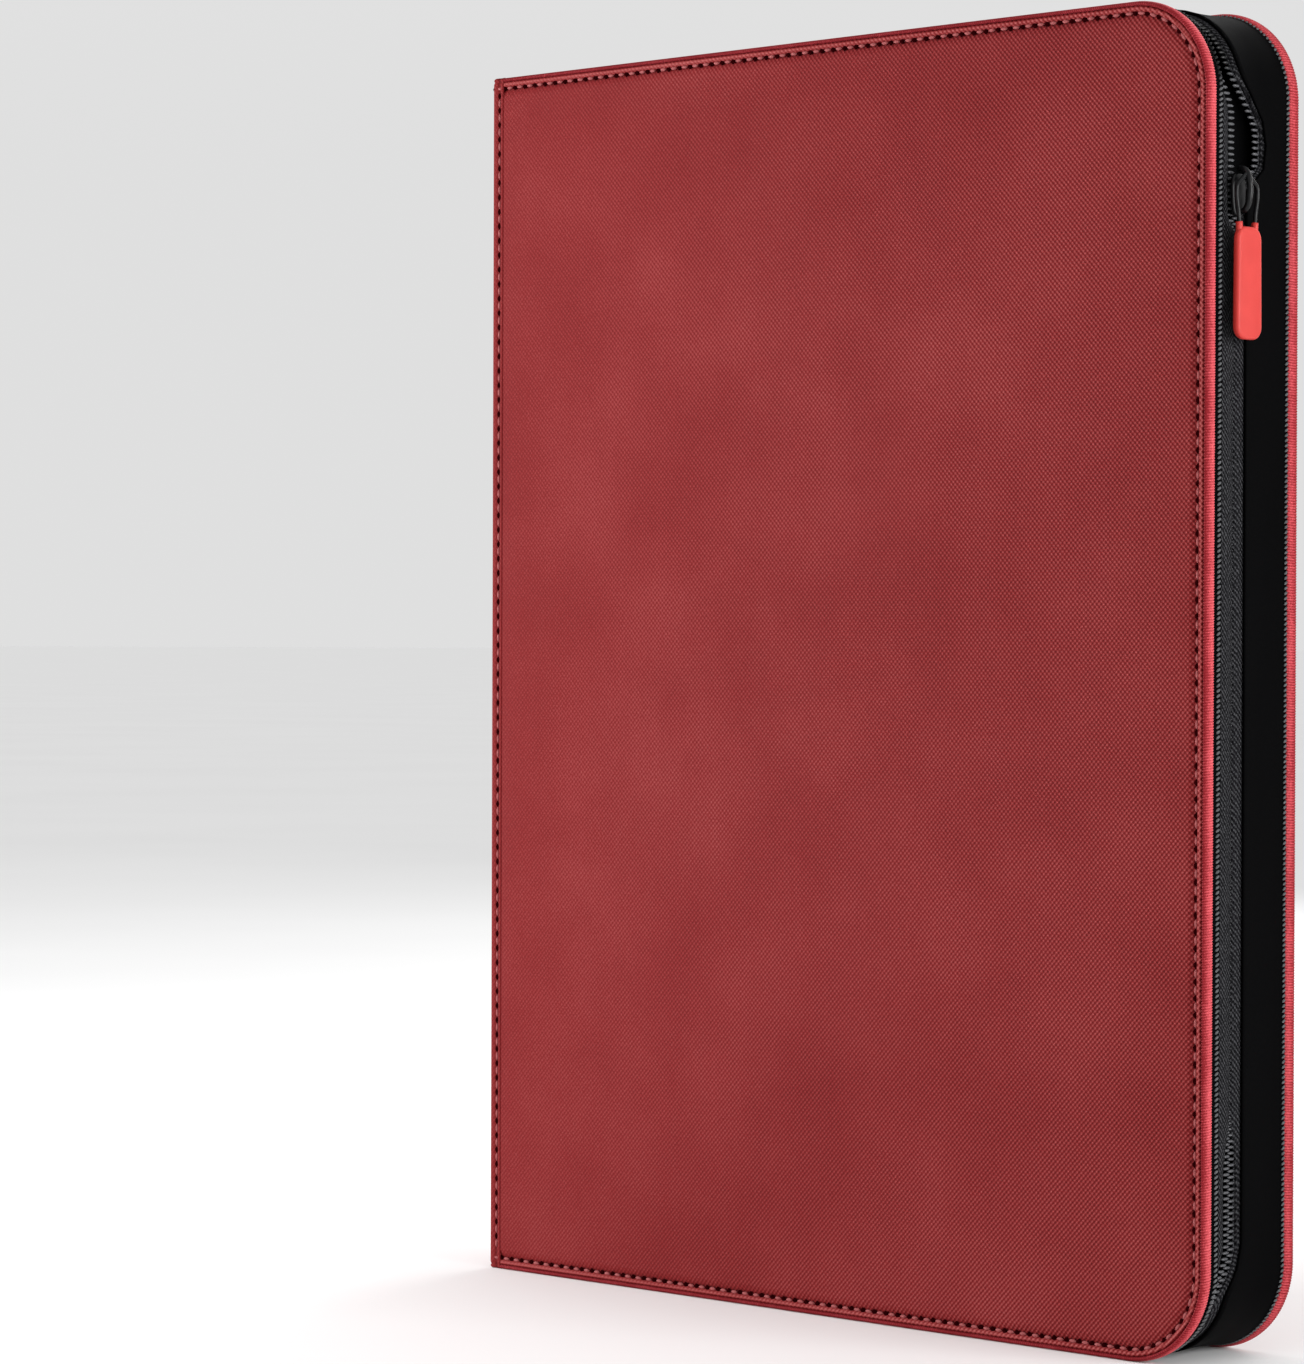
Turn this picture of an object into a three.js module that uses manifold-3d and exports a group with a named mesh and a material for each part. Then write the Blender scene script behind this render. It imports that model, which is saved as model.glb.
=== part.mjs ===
// A zipped ring binder for trading cards: two cloth-covered boards on a spine, a ring mechanism riveted
// inside the spine, pocket pages on the rings, and a cloth gusset with a coil zipper round the three open sides.
//
// Shapes are drawn in millimetres, with x from the spine's outer face, y from the front cover's outer face and
// z from the floor. The exported group is moved so that its origin is the centre of the whole binder's base.
import * as THREE from "three";
import { mergeVertices } from "three/addons/utils/BufferGeometryUtils.js";
import Module from "manifold-3d";

const wasm = await Module();
wasm.setup();

// ---- Driving dimensions ----
const HEIGHT = 340;
const WIDTH = 258; // spine to fore edge
const THICK = 37; // front face to back face
const CORNER = 24; // radius of the covers' two fore-edge corners
const SKIN = 0.8; // outer cloth
const BOARD = 1.7;
const LINING = 0.6;
const GLUE_GAP = 0.1; // between the layers of a cover
const RIM = 1.2; // width of the bound edge round a cover
const HINGE = 4.2; // outer radius of the cloth hinge at each corner of the spine
const CLEARANCE = 0.3; // between neighbours that don't slide

const COVER = SKIN + BOARD + LINING + 3 * GLUE_GAP; // thickness of one cover
const MID_Y = THICK / 2;
const MID_Z = HEIGHT / 2;
const COVER_START = HINGE + CLEARANCE; // where a cover begins, past its hinge

// Ring mechanism
const RING_X = 18.5; // the rings' centre line
const RING_RADIUS = 12; // to the middle of the wire
const WIRE = 2.4;
const RING_PITCH = 108; // letter-size three-ring spacing
const RAIL_LENGTH = 294;
const RAIL_BASE_X = 3.6;
const RAIL_WIDTH = 16;
const RAIL_CREST_X = 8.2;
const RAIL_SHOULDER_X = 6.8;
const RAIL_WALL = 0.8;
const RIVET_SPAN = 144; // between the two rivets
const RIVET_SHANK = 1.7;
const RIVET_HEAD = 3.6;
const RIVET_DOME = 1;

// Pages
const PAGES_PER_SIDE = 10;
const PAGE_THICK = 0.5;
const PAGE_PITCH = 0.9;
const PAGE_WIDTH = 225;
const PAGE_HEIGHT = 286;
const HOLE_RADIUS = 4;
const HOLE_TO_EDGE = 7; // hole's centre to the page's bound edge
const HOLE_SLACK = 1.6; // how far the hole's centre stands outside the wire

// Gusset and zipper, as insets from the covers' outline
const GUSSET_START = 18; // distance of its two ends from the spine's outer face
const GUSSET_OUTER = 0.8;
const GUSSET_INNER = 1.6;
const TAPE_OUTER = 1.7;
const TAPE_INNER = 2.3;
const COIL_OUTER = 2.4; // the coil is on the tape's inner side
const COIL_INNER = 4.2;
const ZIP_Y = 13; // the zipper's centre line
const COIL_GAP = 0.5; // half of the space between the two coils
const COIL_WIDTH = 1.6;
const FRONT_STRIP = 3.4; // width of the strip of gusset cloth on the front cover
const BACK_TAPE_SHOWN = 3; // width of the back tape, from its coil to the wide gusset
const TAPE_LAP = 1.6; // how far each tape is sewn under its gusset
const SLIDER_Z = 291;

const COLOURS = {
  cloth: { color: 0x94343a, roughness: 0.75, metalness: 0 },
  board: { color: 0x8c8478, roughness: 0.9, metalness: 0 },
  lining: { color: 0x121214, roughness: 0.6, metalness: 0 },
  gusset: { color: 0x101011, roughness: 0.7, metalness: 0 },
  tape: { color: 0x26262a, roughness: 0.85, metalness: 0 },
  coil: { color: 0x2e2e33, roughness: 0.45, metalness: 0 },
  slider: { color: 0x16161a, roughness: 0.3, metalness: 0.8 },
  rubber: { color: 0xf04a40, roughness: 0.5, metalness: 0 },
  steel: { color: 0xc8c9cc, roughness: 0.25, metalness: 1 },
  cap: { color: 0x141416, roughness: 0.45, metalness: 0 },
  film: { color: 0xc3cdd4, roughness: 0.3, metalness: 0 },
};

const binder = new THREE.Group();

function add(name, geometry, finish) {
  const mesh = new THREE.Mesh(geometry, new THREE.MeshStandardMaterial(COLOURS[finish]));
  mesh.name = name;
  binder.add(mesh);
  return mesh;
}

// ---- Solids ----
function solidOf(geometry) {
  const bare = geometry.clone();
  bare.deleteAttribute("normal");
  bare.deleteAttribute("uv");
  const merged = mergeVertices(bare, 1e-4);
  const { array } = merged.attributes.position;
  const triVerts = new Uint32Array(merged.index.array);
  return new wasm.Manifold(new wasm.Mesh({ numProp: 3, vertProperties: array, triVerts }));
}

function geometryOf(solid) {
  const mesh = solid.getMesh();
  const geometry = new THREE.BufferGeometry();
  geometry.setAttribute("position", new THREE.BufferAttribute(mesh.vertProperties, 3));
  geometry.setIndex(new THREE.BufferAttribute(mesh.triVerts, 1));
  geometry.computeVertexNormals();
  return geometry;
}

function cut(geometry, tools) {
  return geometryOf(tools.reduce((left, tool) => left.subtract(solidOf(tool)), solidOf(geometry)));
}

function join(...geometries) {
  return geometryOf(geometries.map(solidOf).reduce((all, next) => all.add(next)));
}

function box(x0, x1, y0, y1, z0, z1) {
  const made = new THREE.BoxGeometry(x1 - x0, y1 - y0, z1 - z0);
  return made.translate((x0 + x1) / 2, (y0 + y1) / 2, (z0 + z1) / 2);
}

// A shape drawn in x and z, made solid from y0 to y1.
function slabXZ(shape, y0, y1, curveSegments = 12) {
  const made = new THREE.ExtrudeGeometry(shape, { depth: y1 - y0, bevelEnabled: false, curveSegments });
  return made.rotateX(Math.PI / 2).translate(0, y1, 0);
}

// A shape drawn in y and z, made solid from x0 to x1.
function slabYZ(shape, x0, x1, curveSegments = 6) {
  const made = new THREE.ExtrudeGeometry(shape, { depth: x1 - x0, bevelEnabled: false, curveSegments });
  return made.rotateX(Math.PI / 2).rotateZ(Math.PI / 2).translate(x0, 0, 0);
}

// A shape drawn in x and y, made solid from z0 to z1.
function slabXY(shape, z0, z1, curveSegments = 8) {
  const made = new THREE.ExtrudeGeometry(shape, { depth: z1 - z0, bevelEnabled: false, curveSegments });
  return made.translate(0, 0, z0);
}

// A cylinder along x.
function cylinderX(radius, x0, x1, y, z, sides = 16) {
  const made = new THREE.CylinderGeometry(radius, radius, x1 - x0, sides).rotateZ(Math.PI / 2);
  return made.translate((x0 + x1) / 2, y, z);
}

function polygon(points) {
  return new THREE.Shape(points.map(([a, b]) => new THREE.Vector2(a, b)));
}

// y counted from the front face on the front cover, and from the back face on the back cover.
function sideY(side, depth) {
  return side === "front" ? depth : THICK - depth;
}

function slabOnSide(side, shape, depth0, depth1) {
  const [a, b] = [sideY(side, depth0), sideY(side, depth1)].sort((p, q) => p - q);
  return slabXZ(shape, a, b);
}

// ---- Covers ----
// A cover's outline, square at the spine and round at the fore edge, drawn in from its edges.
function coverOutline(inset, start = COVER_START + inset) {
  const shape = new THREE.Shape();
  const radius = CORNER - inset;
  shape.moveTo(start, inset);
  shape.lineTo(WIDTH - CORNER, inset);
  shape.absarc(WIDTH - CORNER, CORNER, radius, -Math.PI / 2, 0);
  shape.lineTo(WIDTH - inset, HEIGHT - CORNER);
  shape.absarc(WIDTH - CORNER, HEIGHT - CORNER, radius, 0, Math.PI / 2);
  shape.lineTo(start, HEIGHT - inset);
  return shape;
}

// The bound edge: a band of the outline's width, open towards the spine.
function bindingShape() {
  const shape = coverOutline(0, COVER_START);
  const inner = coverOutline(RIM, COVER_START).getPoints(12).reverse();
  inner.forEach((point) => shape.lineTo(point.x, point.y));
  return shape;
}

function buildCover(side) {
  const boardAt = SKIN + GLUE_GAP;
  const liningAt = boardAt + BOARD + GLUE_GAP;
  const layer = (inset) => coverOutline(inset, COVER_START);
  add(`${side}_skin`, slabOnSide(side, layer(0), 0, SKIN), "cloth");
  add(`${side}_binding`, slabOnSide(side, bindingShape(), boardAt, COVER), "cloth");
  add(`${side}_board`, slabOnSide(side, layer(RIM + GLUE_GAP), boardAt, boardAt + BOARD), "board");
  add(`${side}_lining`, slabOnSide(side, layer(RIM + GLUE_GAP), liningAt, liningAt + LINING), "lining");
}

// ---- Gusset and zipper ----
const STRAIGHT_TOP = WIDTH - CORNER - GUSSET_START;
const CORNER_ARC = ((CORNER - TAPE_OUTER) * Math.PI) / 2;
const STRAIGHT_FORE = HEIGHT - 2 * CORNER;
const SLIDER_S = STRAIGHT_TOP + CORNER_ARC + (HEIGHT - CORNER - SLIDER_Z);

// Stations round the three open sides, from the spine's top end to its bottom end. Each has its distance s, a
// point on the covers' outline and the direction in from it.
function stationAt(s) {
  if (s <= STRAIGHT_TOP) return { s, x: GUSSET_START + s, z: HEIGHT, inX: 0, inZ: -1 };
  const onCorner = (angle, centreZ) => ({
    s,
    x: WIDTH - CORNER + CORNER * Math.cos(angle),
    z: centreZ + CORNER * Math.sin(angle),
    inX: -Math.cos(angle),
    inZ: -Math.sin(angle),
  });
  const past = s - STRAIGHT_TOP;
  if (past <= CORNER_ARC) return onCorner((Math.PI / 2) * (1 - past / CORNER_ARC), HEIGHT - CORNER);
  const down = past - CORNER_ARC;
  if (down <= STRAIGHT_FORE) return { s, x: WIDTH, z: HEIGHT - CORNER - down, inX: -1, inZ: 0 };
  const low = down - STRAIGHT_FORE;
  if (low <= CORNER_ARC) return onCorner((-Math.PI / 2) * (low / CORNER_ARC), CORNER);
  return { s, x: WIDTH - CORNER - (low - CORNER_ARC), z: 0, inX: 0, inZ: 1 };
}

function evenly(from, to, count) {
  return Array.from({ length: count + 1 }, (_, i) => from + ((to - from) * i) / count);
}

function stationList() {
  const cornerEnd = STRAIGHT_TOP + CORNER_ARC;
  const foreEnd = cornerEnd + STRAIGHT_FORE;
  const distances = [
    ...evenly(0, STRAIGHT_TOP, 10),
    ...evenly(STRAIGHT_TOP, cornerEnd, 8).slice(1),
    ...evenly(cornerEnd, SLIDER_S, 9).slice(1),
    foreEnd,
    ...evenly(foreEnd, foreEnd + CORNER_ARC, 8).slice(1),
    foreEnd + CORNER_ARC + STRAIGHT_TOP,
  ];
  return distances.map(stationAt);
}

const STATIONS = stationList();
const PART_BACK = 8; // how far the unzipped back half swings away just above the slider
const PART_LENGTH = 9;
const DROOP_FRONT = 5.4; // how far both halves then sag towards the front cover round the corner
const DROOP_BACK = 10;
const DROOP_START = 15;
const DROOP_END = 33;

// How far each half of the zipper stands from its closed line, at a distance above the slider.
function frontShift(s) {
  return -DROOP_FRONT * THREE.MathUtils.smoothstep(SLIDER_S - s, DROOP_START + 5, DROOP_END);
}

function backShift(s) {
  const above = SLIDER_S - s;
  const parting = PART_BACK * THREE.MathUtils.smoothstep(above, 0, PART_LENGTH);
  return parting - DROOP_BACK * THREE.MathUtils.smoothstep(above, DROOP_START, DROOP_END);
}

// A closed strip along the stations, between two insets and between two depths in y that may change along it.
function ribbon(insetOuter, insetInner, yLow, yHigh) {
  const positions = [];
  STATIONS.forEach((st) => {
    const corners = [
      [insetOuter, yLow(st.s)],
      [insetOuter, yHigh(st.s)],
      [insetInner, yHigh(st.s)],
      [insetInner, yLow(st.s)],
    ];
    corners.forEach(([inset, y]) => positions.push(st.x + st.inX * inset, y, st.z + st.inZ * inset));
  });
  const index = [];
  const quad = (a, b, c, d) => index.push(a, c, b, a, d, c);
  for (let i = 0; i < STATIONS.length - 1; i++) {
    for (let k = 0; k < 4; k++) {
      const next = (k + 1) % 4;
      quad(4 * i + k, 4 * i + next, 4 * (i + 1) + next, 4 * (i + 1) + k);
    }
  }
  const last = 4 * (STATIONS.length - 1);
  quad(3, 2, 1, 0);
  quad(last, last + 1, last + 2, last + 3);
  const geometry = new THREE.BufferGeometry();
  geometry.setAttribute("position", new THREE.Float32BufferAttribute(positions, 3));
  geometry.setIndex(index);
  geometry.computeVertexNormals();
  return geometry;
}

function buildZipper() {
  const start = COVER + GLUE_GAP;
  const frontCoil = (s) => ZIP_Y - COIL_GAP + frontShift(s);
  const backCoil = (s) => ZIP_Y + COIL_GAP + backShift(s);
  const frontStripEnd = (s) => Math.min(start + FRONT_STRIP, frontCoil(s) - COIL_WIDTH);
  const backStripStart = (s) => backCoil(s) + BACK_TAPE_SHOWN;
  add("front_gusset", ribbon(GUSSET_OUTER, GUSSET_INNER, () => start, frontStripEnd), "gusset");
  add("front_tape", ribbon(TAPE_OUTER, TAPE_INNER, (s) => frontStripEnd(s) - TAPE_LAP, frontCoil), "tape");
  add("front_coil", ribbon(COIL_OUTER, COIL_INNER, (s) => frontCoil(s) - COIL_WIDTH, frontCoil), "coil");
  add("back_gusset", ribbon(GUSSET_OUTER, GUSSET_INNER, backStripStart, () => THICK - start), "gusset");
  add("back_tape", ribbon(TAPE_OUTER, TAPE_INNER, backCoil, (s) => backStripStart(s) + TAPE_LAP), "tape");
  add("back_coil", ribbon(COIL_OUTER, COIL_INNER, backCoil, (s) => backCoil(s) + COIL_WIDTH), "coil");
}

// Two wings, one each side of the tape, held together by a post that runs between the coils.
const WING = 1;
const WING_X = WIDTH - TAPE_OUTER + CLEARANCE; // inner face of the outer wing
const INNER_WING_X = WIDTH - COIL_INNER - CLEARANCE; // outer face of the inner wing
const WING_HALF_TOP = 3.2; // half the wings' width, where the coils come in
const WING_HALF_BOTTOM = 2.8;
const WING_HALF_LENGTH = 5.4;
const CROWN_HEIGHT = 4;
const PULL_X = WING_X + WING + 2.3; // axis of the puller's bar
const PULL_Z = SLIDER_Z + 3.9;
const LINK_WIRE = 1.1;
const LINK_HALF = 3.9; // from the middle to each leg of the link
const TAB_TOP = SLIDER_Z - 8;
const TAB_HALF = 5;
const TAB_LENGTH = 28;
const TAB_THICK = 2.2;

function wingShape() {
  const outline = [
    [0, WING_HALF_LENGTH],
    [WING_HALF_TOP - 1.4, WING_HALF_LENGTH - 0.6],
    [WING_HALF_TOP, WING_HALF_LENGTH - 2.2],
    [WING_HALF_TOP - 0.2, 0],
    [WING_HALF_BOTTOM, 0.8 - WING_HALF_LENGTH],
    [WING_HALF_BOTTOM - 0.8, -WING_HALF_LENGTH],
  ];
  const mirrored = outline.slice(1).reverse().map(([y, z]) => [-y, z]);
  return polygon([...outline, ...mirrored].map(([y, z]) => [ZIP_Y + y, SLIDER_Z + z]));
}

function crownShape() {
  const base = WING_X + WING - 0.05;
  const top = WING_X + WING + CROWN_HEIGHT;
  const shape = new THREE.Shape();
  shape.moveTo(base, SLIDER_Z - 4.2);
  shape.lineTo(base + 1.2, SLIDER_Z - 4.2);
  shape.quadraticCurveTo(top, SLIDER_Z - 3.4, top, SLIDER_Z + 2);
  shape.quadraticCurveTo(top, SLIDER_Z + 5.2, top - 1.2, SLIDER_Z + 5.9);
  shape.lineTo(base, SLIDER_Z + 5.2);
  const hole = new THREE.Path();
  hole.absellipse(PULL_X - 0.1, PULL_Z - 0.4, 1.05, 1.6, 0, 2 * Math.PI, true);
  shape.holes.push(hole);
  return shape;
}

function buildSlider() {
  const innerWing = slabYZ(wingShape(), INNER_WING_X - WING, INNER_WING_X);
  const outerWing = slabYZ(wingShape(), WING_X, WING_X + WING);
  const sunk = 0.2;
  const post = box(INNER_WING_X - sunk, WING_X + sunk, ZIP_Y - 0.3, ZIP_Y + 0.3, SLIDER_Z + 2, SLIDER_Z + 5);
  const crown = slabXZ(crownShape(), ZIP_Y - 1.2, ZIP_Y + 1.2, 8);
  add("slider_body", join(innerWing, outerWing, post, crown), "slider");
}

function buildPuller() {
  const half = LINK_WIRE / 2;
  const legs = [-1, 1].map((way) => {
    const y = ZIP_Y + way * LINK_HALF;
    return box(PULL_X - half, PULL_X + half, y - half, y + half, TAB_TOP + 0.1, PULL_Z + half);
  });
  const [y0, y1] = [ZIP_Y - LINK_HALF, ZIP_Y + LINK_HALF];
  const bar = box(PULL_X - half, PULL_X + half, y0, y1, PULL_Z - half, PULL_Z + half);
  add("puller_link", join(bar, ...legs), "slider");
  const back = PULL_X - TAB_THICK / 2 + 0.2;
  add("puller_tab", slabYZ(tabShape(), back, back + TAB_THICK), "rubber");
}

// A long rectangle with round corners, hanging from TAB_TOP.
function tabShape() {
  const round = 3.2;
  const [left, right] = [ZIP_Y - TAB_HALF, ZIP_Y + TAB_HALF];
  const [top, bottom] = [TAB_TOP, TAB_TOP - TAB_LENGTH];
  const shape = new THREE.Shape();
  shape.moveTo(left + round, top);
  shape.absarc(right - round, top - round, round, Math.PI / 2, 0, true);
  shape.absarc(right - round, bottom + round, round, 0, -Math.PI / 2, true);
  shape.absarc(left + round, bottom + round, round, -Math.PI / 2, -Math.PI, true);
  shape.absarc(left + round, top - round, round, Math.PI, Math.PI / 2, true);
  return shape;
}

// ---- Spine ----
function rivetHeights() {
  return [MID_Z + RIVET_SPAN / 2, MID_Z - RIVET_SPAN / 2];
}

function buildSpine() {
  const edge = HINGE + CLEARANCE;
  const boardX = SKIN + GLUE_GAP;
  const liningX = boardX + BOARD + GLUE_GAP;
  const holes = rivetHeights().map((z) => cylinderX(RIVET_SHANK + CLEARANCE, -1, 10, MID_Y, z));
  const layer = (x0, x1, margin, low) =>
    cut(box(x0, x1, edge + margin, THICK - edge - margin, low, HEIGHT - low), holes);
  add("spine_skin", layer(0, SKIN, 0, 0), "cloth");
  add("spine_board", layer(boardX, boardX + BOARD, 0.6, 1), "board");
  add("spine_lining", layer(liningX, liningX + LINING, 0.2, 1), "lining");
  ["front", "back"].forEach((side) => add(`${side}_hinge_cloth`, hingeCloth(side), "cloth"));
}

// A quarter-round strip of cloth from the spine's face to a cover's face.
function hingeCloth(side) {
  const middle = sideY(side, HINGE);
  const shape = new THREE.Shape();
  const from = Math.PI;
  const to = side === "front" ? 1.5 * Math.PI : 0.5 * Math.PI;
  shape.absarc(HINGE, middle, HINGE, from, to, side === "back");
  shape.absarc(HINGE, middle, HINGE - SKIN, to, from, side === "front");
  return slabXY(shape, 0, HEIGHT);
}

// The arched steel channel that holds the ring mechanism, with slots for the rings and holes for the rivets.
function buildRail() {
  const half = RAIL_WIDTH / 2;
  const sagitta = RAIL_CREST_X - RAIL_SHOULDER_X;
  const outer = (half * half + sagitta * sagitta) / (2 * sagitta);
  const centreX = RAIL_CREST_X - outer;
  const inner = outer - RAIL_WALL;
  const outerAngle = Math.asin(half / outer);
  const innerAngle = Math.asin((half - RAIL_WALL) / inner);
  const shape = new THREE.Shape();
  shape.moveTo(RAIL_BASE_X, MID_Y - half);
  shape.absarc(centreX, MID_Y, outer, -outerAngle, outerAngle);
  shape.lineTo(RAIL_BASE_X, MID_Y + half);
  shape.lineTo(RAIL_BASE_X, MID_Y + half - RAIL_WALL);
  shape.absarc(centreX, MID_Y, inner, innerAngle, -innerAngle, true);
  shape.lineTo(RAIL_BASE_X, MID_Y - half + RAIL_WALL);
  const low = MID_Z - RAIL_LENGTH / 2;
  const slots = ringHeights().flatMap((z) =>
    [-1, 1].map((way) => {
      const ys = [MID_Y + way * 3, MID_Y + way * (half + 1)].sort((a, b) => a - b);
      return box(RAIL_BASE_X + 1.2, RAIL_CREST_X + 1, ys[0], ys[1], z - WIRE, z + WIRE);
    }),
  );
  const holes = rivetHeights().map((z) => cylinderX(RIVET_SHANK + CLEARANCE, 2, 12, MID_Y, z));
  add("ring_rail", cut(slabXY(shape, low, low + RAIL_LENGTH), [...slots, ...holes]), "steel");
}

function rivet(z) {
  const profile = [
    [0, -RIVET_DOME - 0.15],
    [RIVET_HEAD * 0.55, -RIVET_DOME * 0.85 - 0.15],
    [RIVET_HEAD, -0.35],
    [RIVET_HEAD, -0.15],
    [RIVET_SHANK, -0.15],
    [RIVET_SHANK, RAIL_CREST_X + 0.15],
    [RIVET_HEAD * 0.85, RAIL_CREST_X + 0.15],
    [RIVET_HEAD * 0.8, RAIL_CREST_X + 0.6],
    [0, RAIL_CREST_X + 0.9],
  ].map(([radius, along]) => new THREE.Vector2(radius, along));
  return new THREE.LatheGeometry(profile, 16).rotateZ(-Math.PI / 2).translate(0, MID_Y, z);
}

function buildRivets() {
  const [top, bottom] = rivetHeights();
  add("rivet_top", rivet(top), "steel");
  add("rivet_bottom", rivet(bottom), "steel");
}

// A folded cloth angle that closes the zipper's end at the spine.
function buildEndTabs() {
  const halfWidth = 11;
  const wall = 1.2;
  const reach = GUSSET_START - 2;
  const drop = 11;
  const outerZ = HEIGHT - GUSSET_OUTER - 1;
  const shape = polygon([
    [RAIL_BASE_X, outerZ],
    [reach, outerZ],
    [reach, outerZ - 1.6],
    [RAIL_BASE_X + wall, outerZ - 1.6],
    [RAIL_BASE_X + wall, outerZ - drop],
    [RAIL_BASE_X, outerZ - drop],
  ].reverse());
  const top = slabXZ(shape, MID_Y - halfWidth, MID_Y + halfWidth);
  const bottom = geometryOf(solidOf(top).mirror([0, 0, 1])).translate(0, 0, HEIGHT);
  add("end_tab_top", top, "gusset");
  add("end_tab_bottom", bottom, "gusset");
}

// ---- Rings, with their hinge plates and trigger levers ----
const PLATE_X = 4.9;
const PLATE_WALL = 0.8;
const PLATE_LENGTH = 290;

function ringHeights() {
  return [MID_Z + RING_PITCH, MID_Z, MID_Z - RING_PITCH];
}

// Half a ring: an arc from the middle of the fore side round to a leg that dips into the rail.
function halfRing(way, z) {
  const arcEnd = 130; // degrees round from the fore side
  const tip = 0.75; // where the arc starts, so that the two halves only meet
  const at = (degrees) => {
    const angle = THREE.MathUtils.degToRad(degrees);
    const y = MID_Y + way * RING_RADIUS * Math.sin(angle);
    return new THREE.Vector3(RING_X + RING_RADIUS * Math.cos(angle), y, z);
  };
  const arc = evenly(tip, arcEnd, 14).map(at);
  const knee = new THREE.Vector3(RAIL_CREST_X, MID_Y + way * 6.6, z);
  const foot = new THREE.Vector3(PLATE_X + PLATE_WALL + 0.8, MID_Y + way * 5.2, z);
  const extrudePath = new THREE.CatmullRomCurve3([...arc, knee, foot], false, "centripetal");
  const section = new THREE.Shape().absarc(0, 0, WIRE / 2, 0, 2 * Math.PI);
  const options = { steps: 22, curveSegments: 5, bevelEnabled: false, extrudePath };
  return new THREE.ExtrudeGeometry(section, options);
}

function ringPlate(way) {
  const inner = MID_Y + way * 0.15;
  const outer = MID_Y + way * (RAIL_WIDTH / 2 - RAIL_WALL - 0.2);
  const [y0, y1] = [inner, outer].sort((a, b) => a - b);
  const low = MID_Z - PLATE_LENGTH / 2;
  const notches = rivetHeights().map((z) => box(0, 10, MID_Y - 3, MID_Y + 3, z - 4, z + 4));
  return cut(box(PLATE_X, PLATE_X + PLATE_WALL, y0, y1, low, low + PLATE_LENGTH), notches);
}

function buildRings() {
  [["front", -1], ["back", 1]].forEach(([side, way]) => {
    add(`${side}_ring_plate`, ringPlate(way), "steel");
    ["top", "middle", "bottom"].forEach((place, i) => {
      add(`${side}_ring_${place}`, halfRing(way, ringHeights()[i]), "steel");
    });
  });
}

// A trigger at each end of the rail: a finger under the plates, and an upright under a moulded cap.
const TRIGGER_PIVOT = RAIL_LENGTH / 2; // from the middle of the rail to each trigger's axis
const CAP_HALF = 9;
const CAP_ROUND = 3;

function trigger() {
  const end = MID_Z + TRIGGER_PIVOT;
  const low = PLATE_X - 1.2;
  const high = PLATE_X - 0.4;
  const finger = box(low, high, MID_Y - 1.2, MID_Y + 1.2, end - 6, end + 1.8);
  const upright = box(low, 18, MID_Y - 6, MID_Y + 6, end + 0.6, end + 1.8);
  return join(finger, upright);
}

function triggerCap() {
  const end = MID_Z + TRIGGER_PIVOT;
  const [low, high] = [RAIL_CREST_X + 1.2, 20];
  const shape = new THREE.Shape();
  shape.moveTo(low, MID_Y - CAP_HALF);
  shape.absarc(high - CAP_ROUND, MID_Y - CAP_HALF + CAP_ROUND, CAP_ROUND, -Math.PI / 2, 0);
  shape.absarc(high - CAP_ROUND, MID_Y + CAP_HALF - CAP_ROUND, CAP_ROUND, 0, Math.PI / 2);
  shape.lineTo(low, MID_Y + CAP_HALF);
  const slot = box(low - 1, 18.2, MID_Y - 6.2, MID_Y + 6.2, end + 0.4, end + 2);
  return cut(slabXY(shape, end - 0.6, end + 3, 5), [slot]);
}

function buildTriggers() {
  const upsideDown = (geometry) => geometryOf(solidOf(geometry).mirror([0, 0, 1])).translate(0, 0, HEIGHT);
  add("trigger_top", trigger(), "steel");
  add("trigger_cap_top", triggerCap(), "cap");
  add("trigger_bottom", upsideDown(trigger()), "steel");
  add("trigger_cap_bottom", upsideDown(triggerCap()), "cap");
}

// ---- Pages ----
// A pocket page, with its holes where the rings pass at its own place in the stack.
function page(y) {
  const wireX = RING_X + Math.sqrt(RING_RADIUS ** 2 - (y - MID_Y) ** 2);
  const holeX = wireX + HOLE_SLACK;
  const left = holeX - HOLE_TO_EDGE;
  const low = MID_Z - PAGE_HEIGHT / 2;
  const shape = polygon([
    [left, low],
    [left + PAGE_WIDTH, low],
    [left + PAGE_WIDTH, low + PAGE_HEIGHT],
    [left, low + PAGE_HEIGHT],
  ]);
  shape.holes = ringHeights().map((z) => new THREE.Path().absarc(holeX, z, HOLE_RADIUS, 0, 2 * Math.PI, true));
  return slabXZ(shape, y - PAGE_THICK / 2, y + PAGE_THICK / 2, 5);
}

function buildPages() {
  [["front", -1], ["back", 1]].forEach(([side, way]) => {
    for (let i = 0; i < PAGES_PER_SIDE; i++) {
      const number = String(i + 1).padStart(2, "0");
      add(`${side}_page_${number}`, page(MID_Y + way * PAGE_PITCH * (i + 0.5)), "film");
    }
  });
}

buildCover("front");
buildCover("back");
buildSpine();
buildRail();
buildRivets();
buildEndTabs();
buildRings();
buildTriggers();
buildPages();
buildZipper();
buildSlider();
buildPuller();

const leftmost = -RIVET_DOME - 0.15;
const rightmost = WING_X + WING + CROWN_HEIGHT;
binder.position.set(-(leftmost + rightmost) / 2, -MID_Y, 0);

export default binder;
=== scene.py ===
"""The looks of a zipped trading card binder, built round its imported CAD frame.

Shapes are drawn in millimetres, with x from the spine's outer face, y from the front cover's face and z from
the floor, as in the CAD source. piece() puts them in the frame, in metres.
"""
import math

import bmesh
import bpy
import numpy as np
from mathutils import Matrix, Vector


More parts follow.
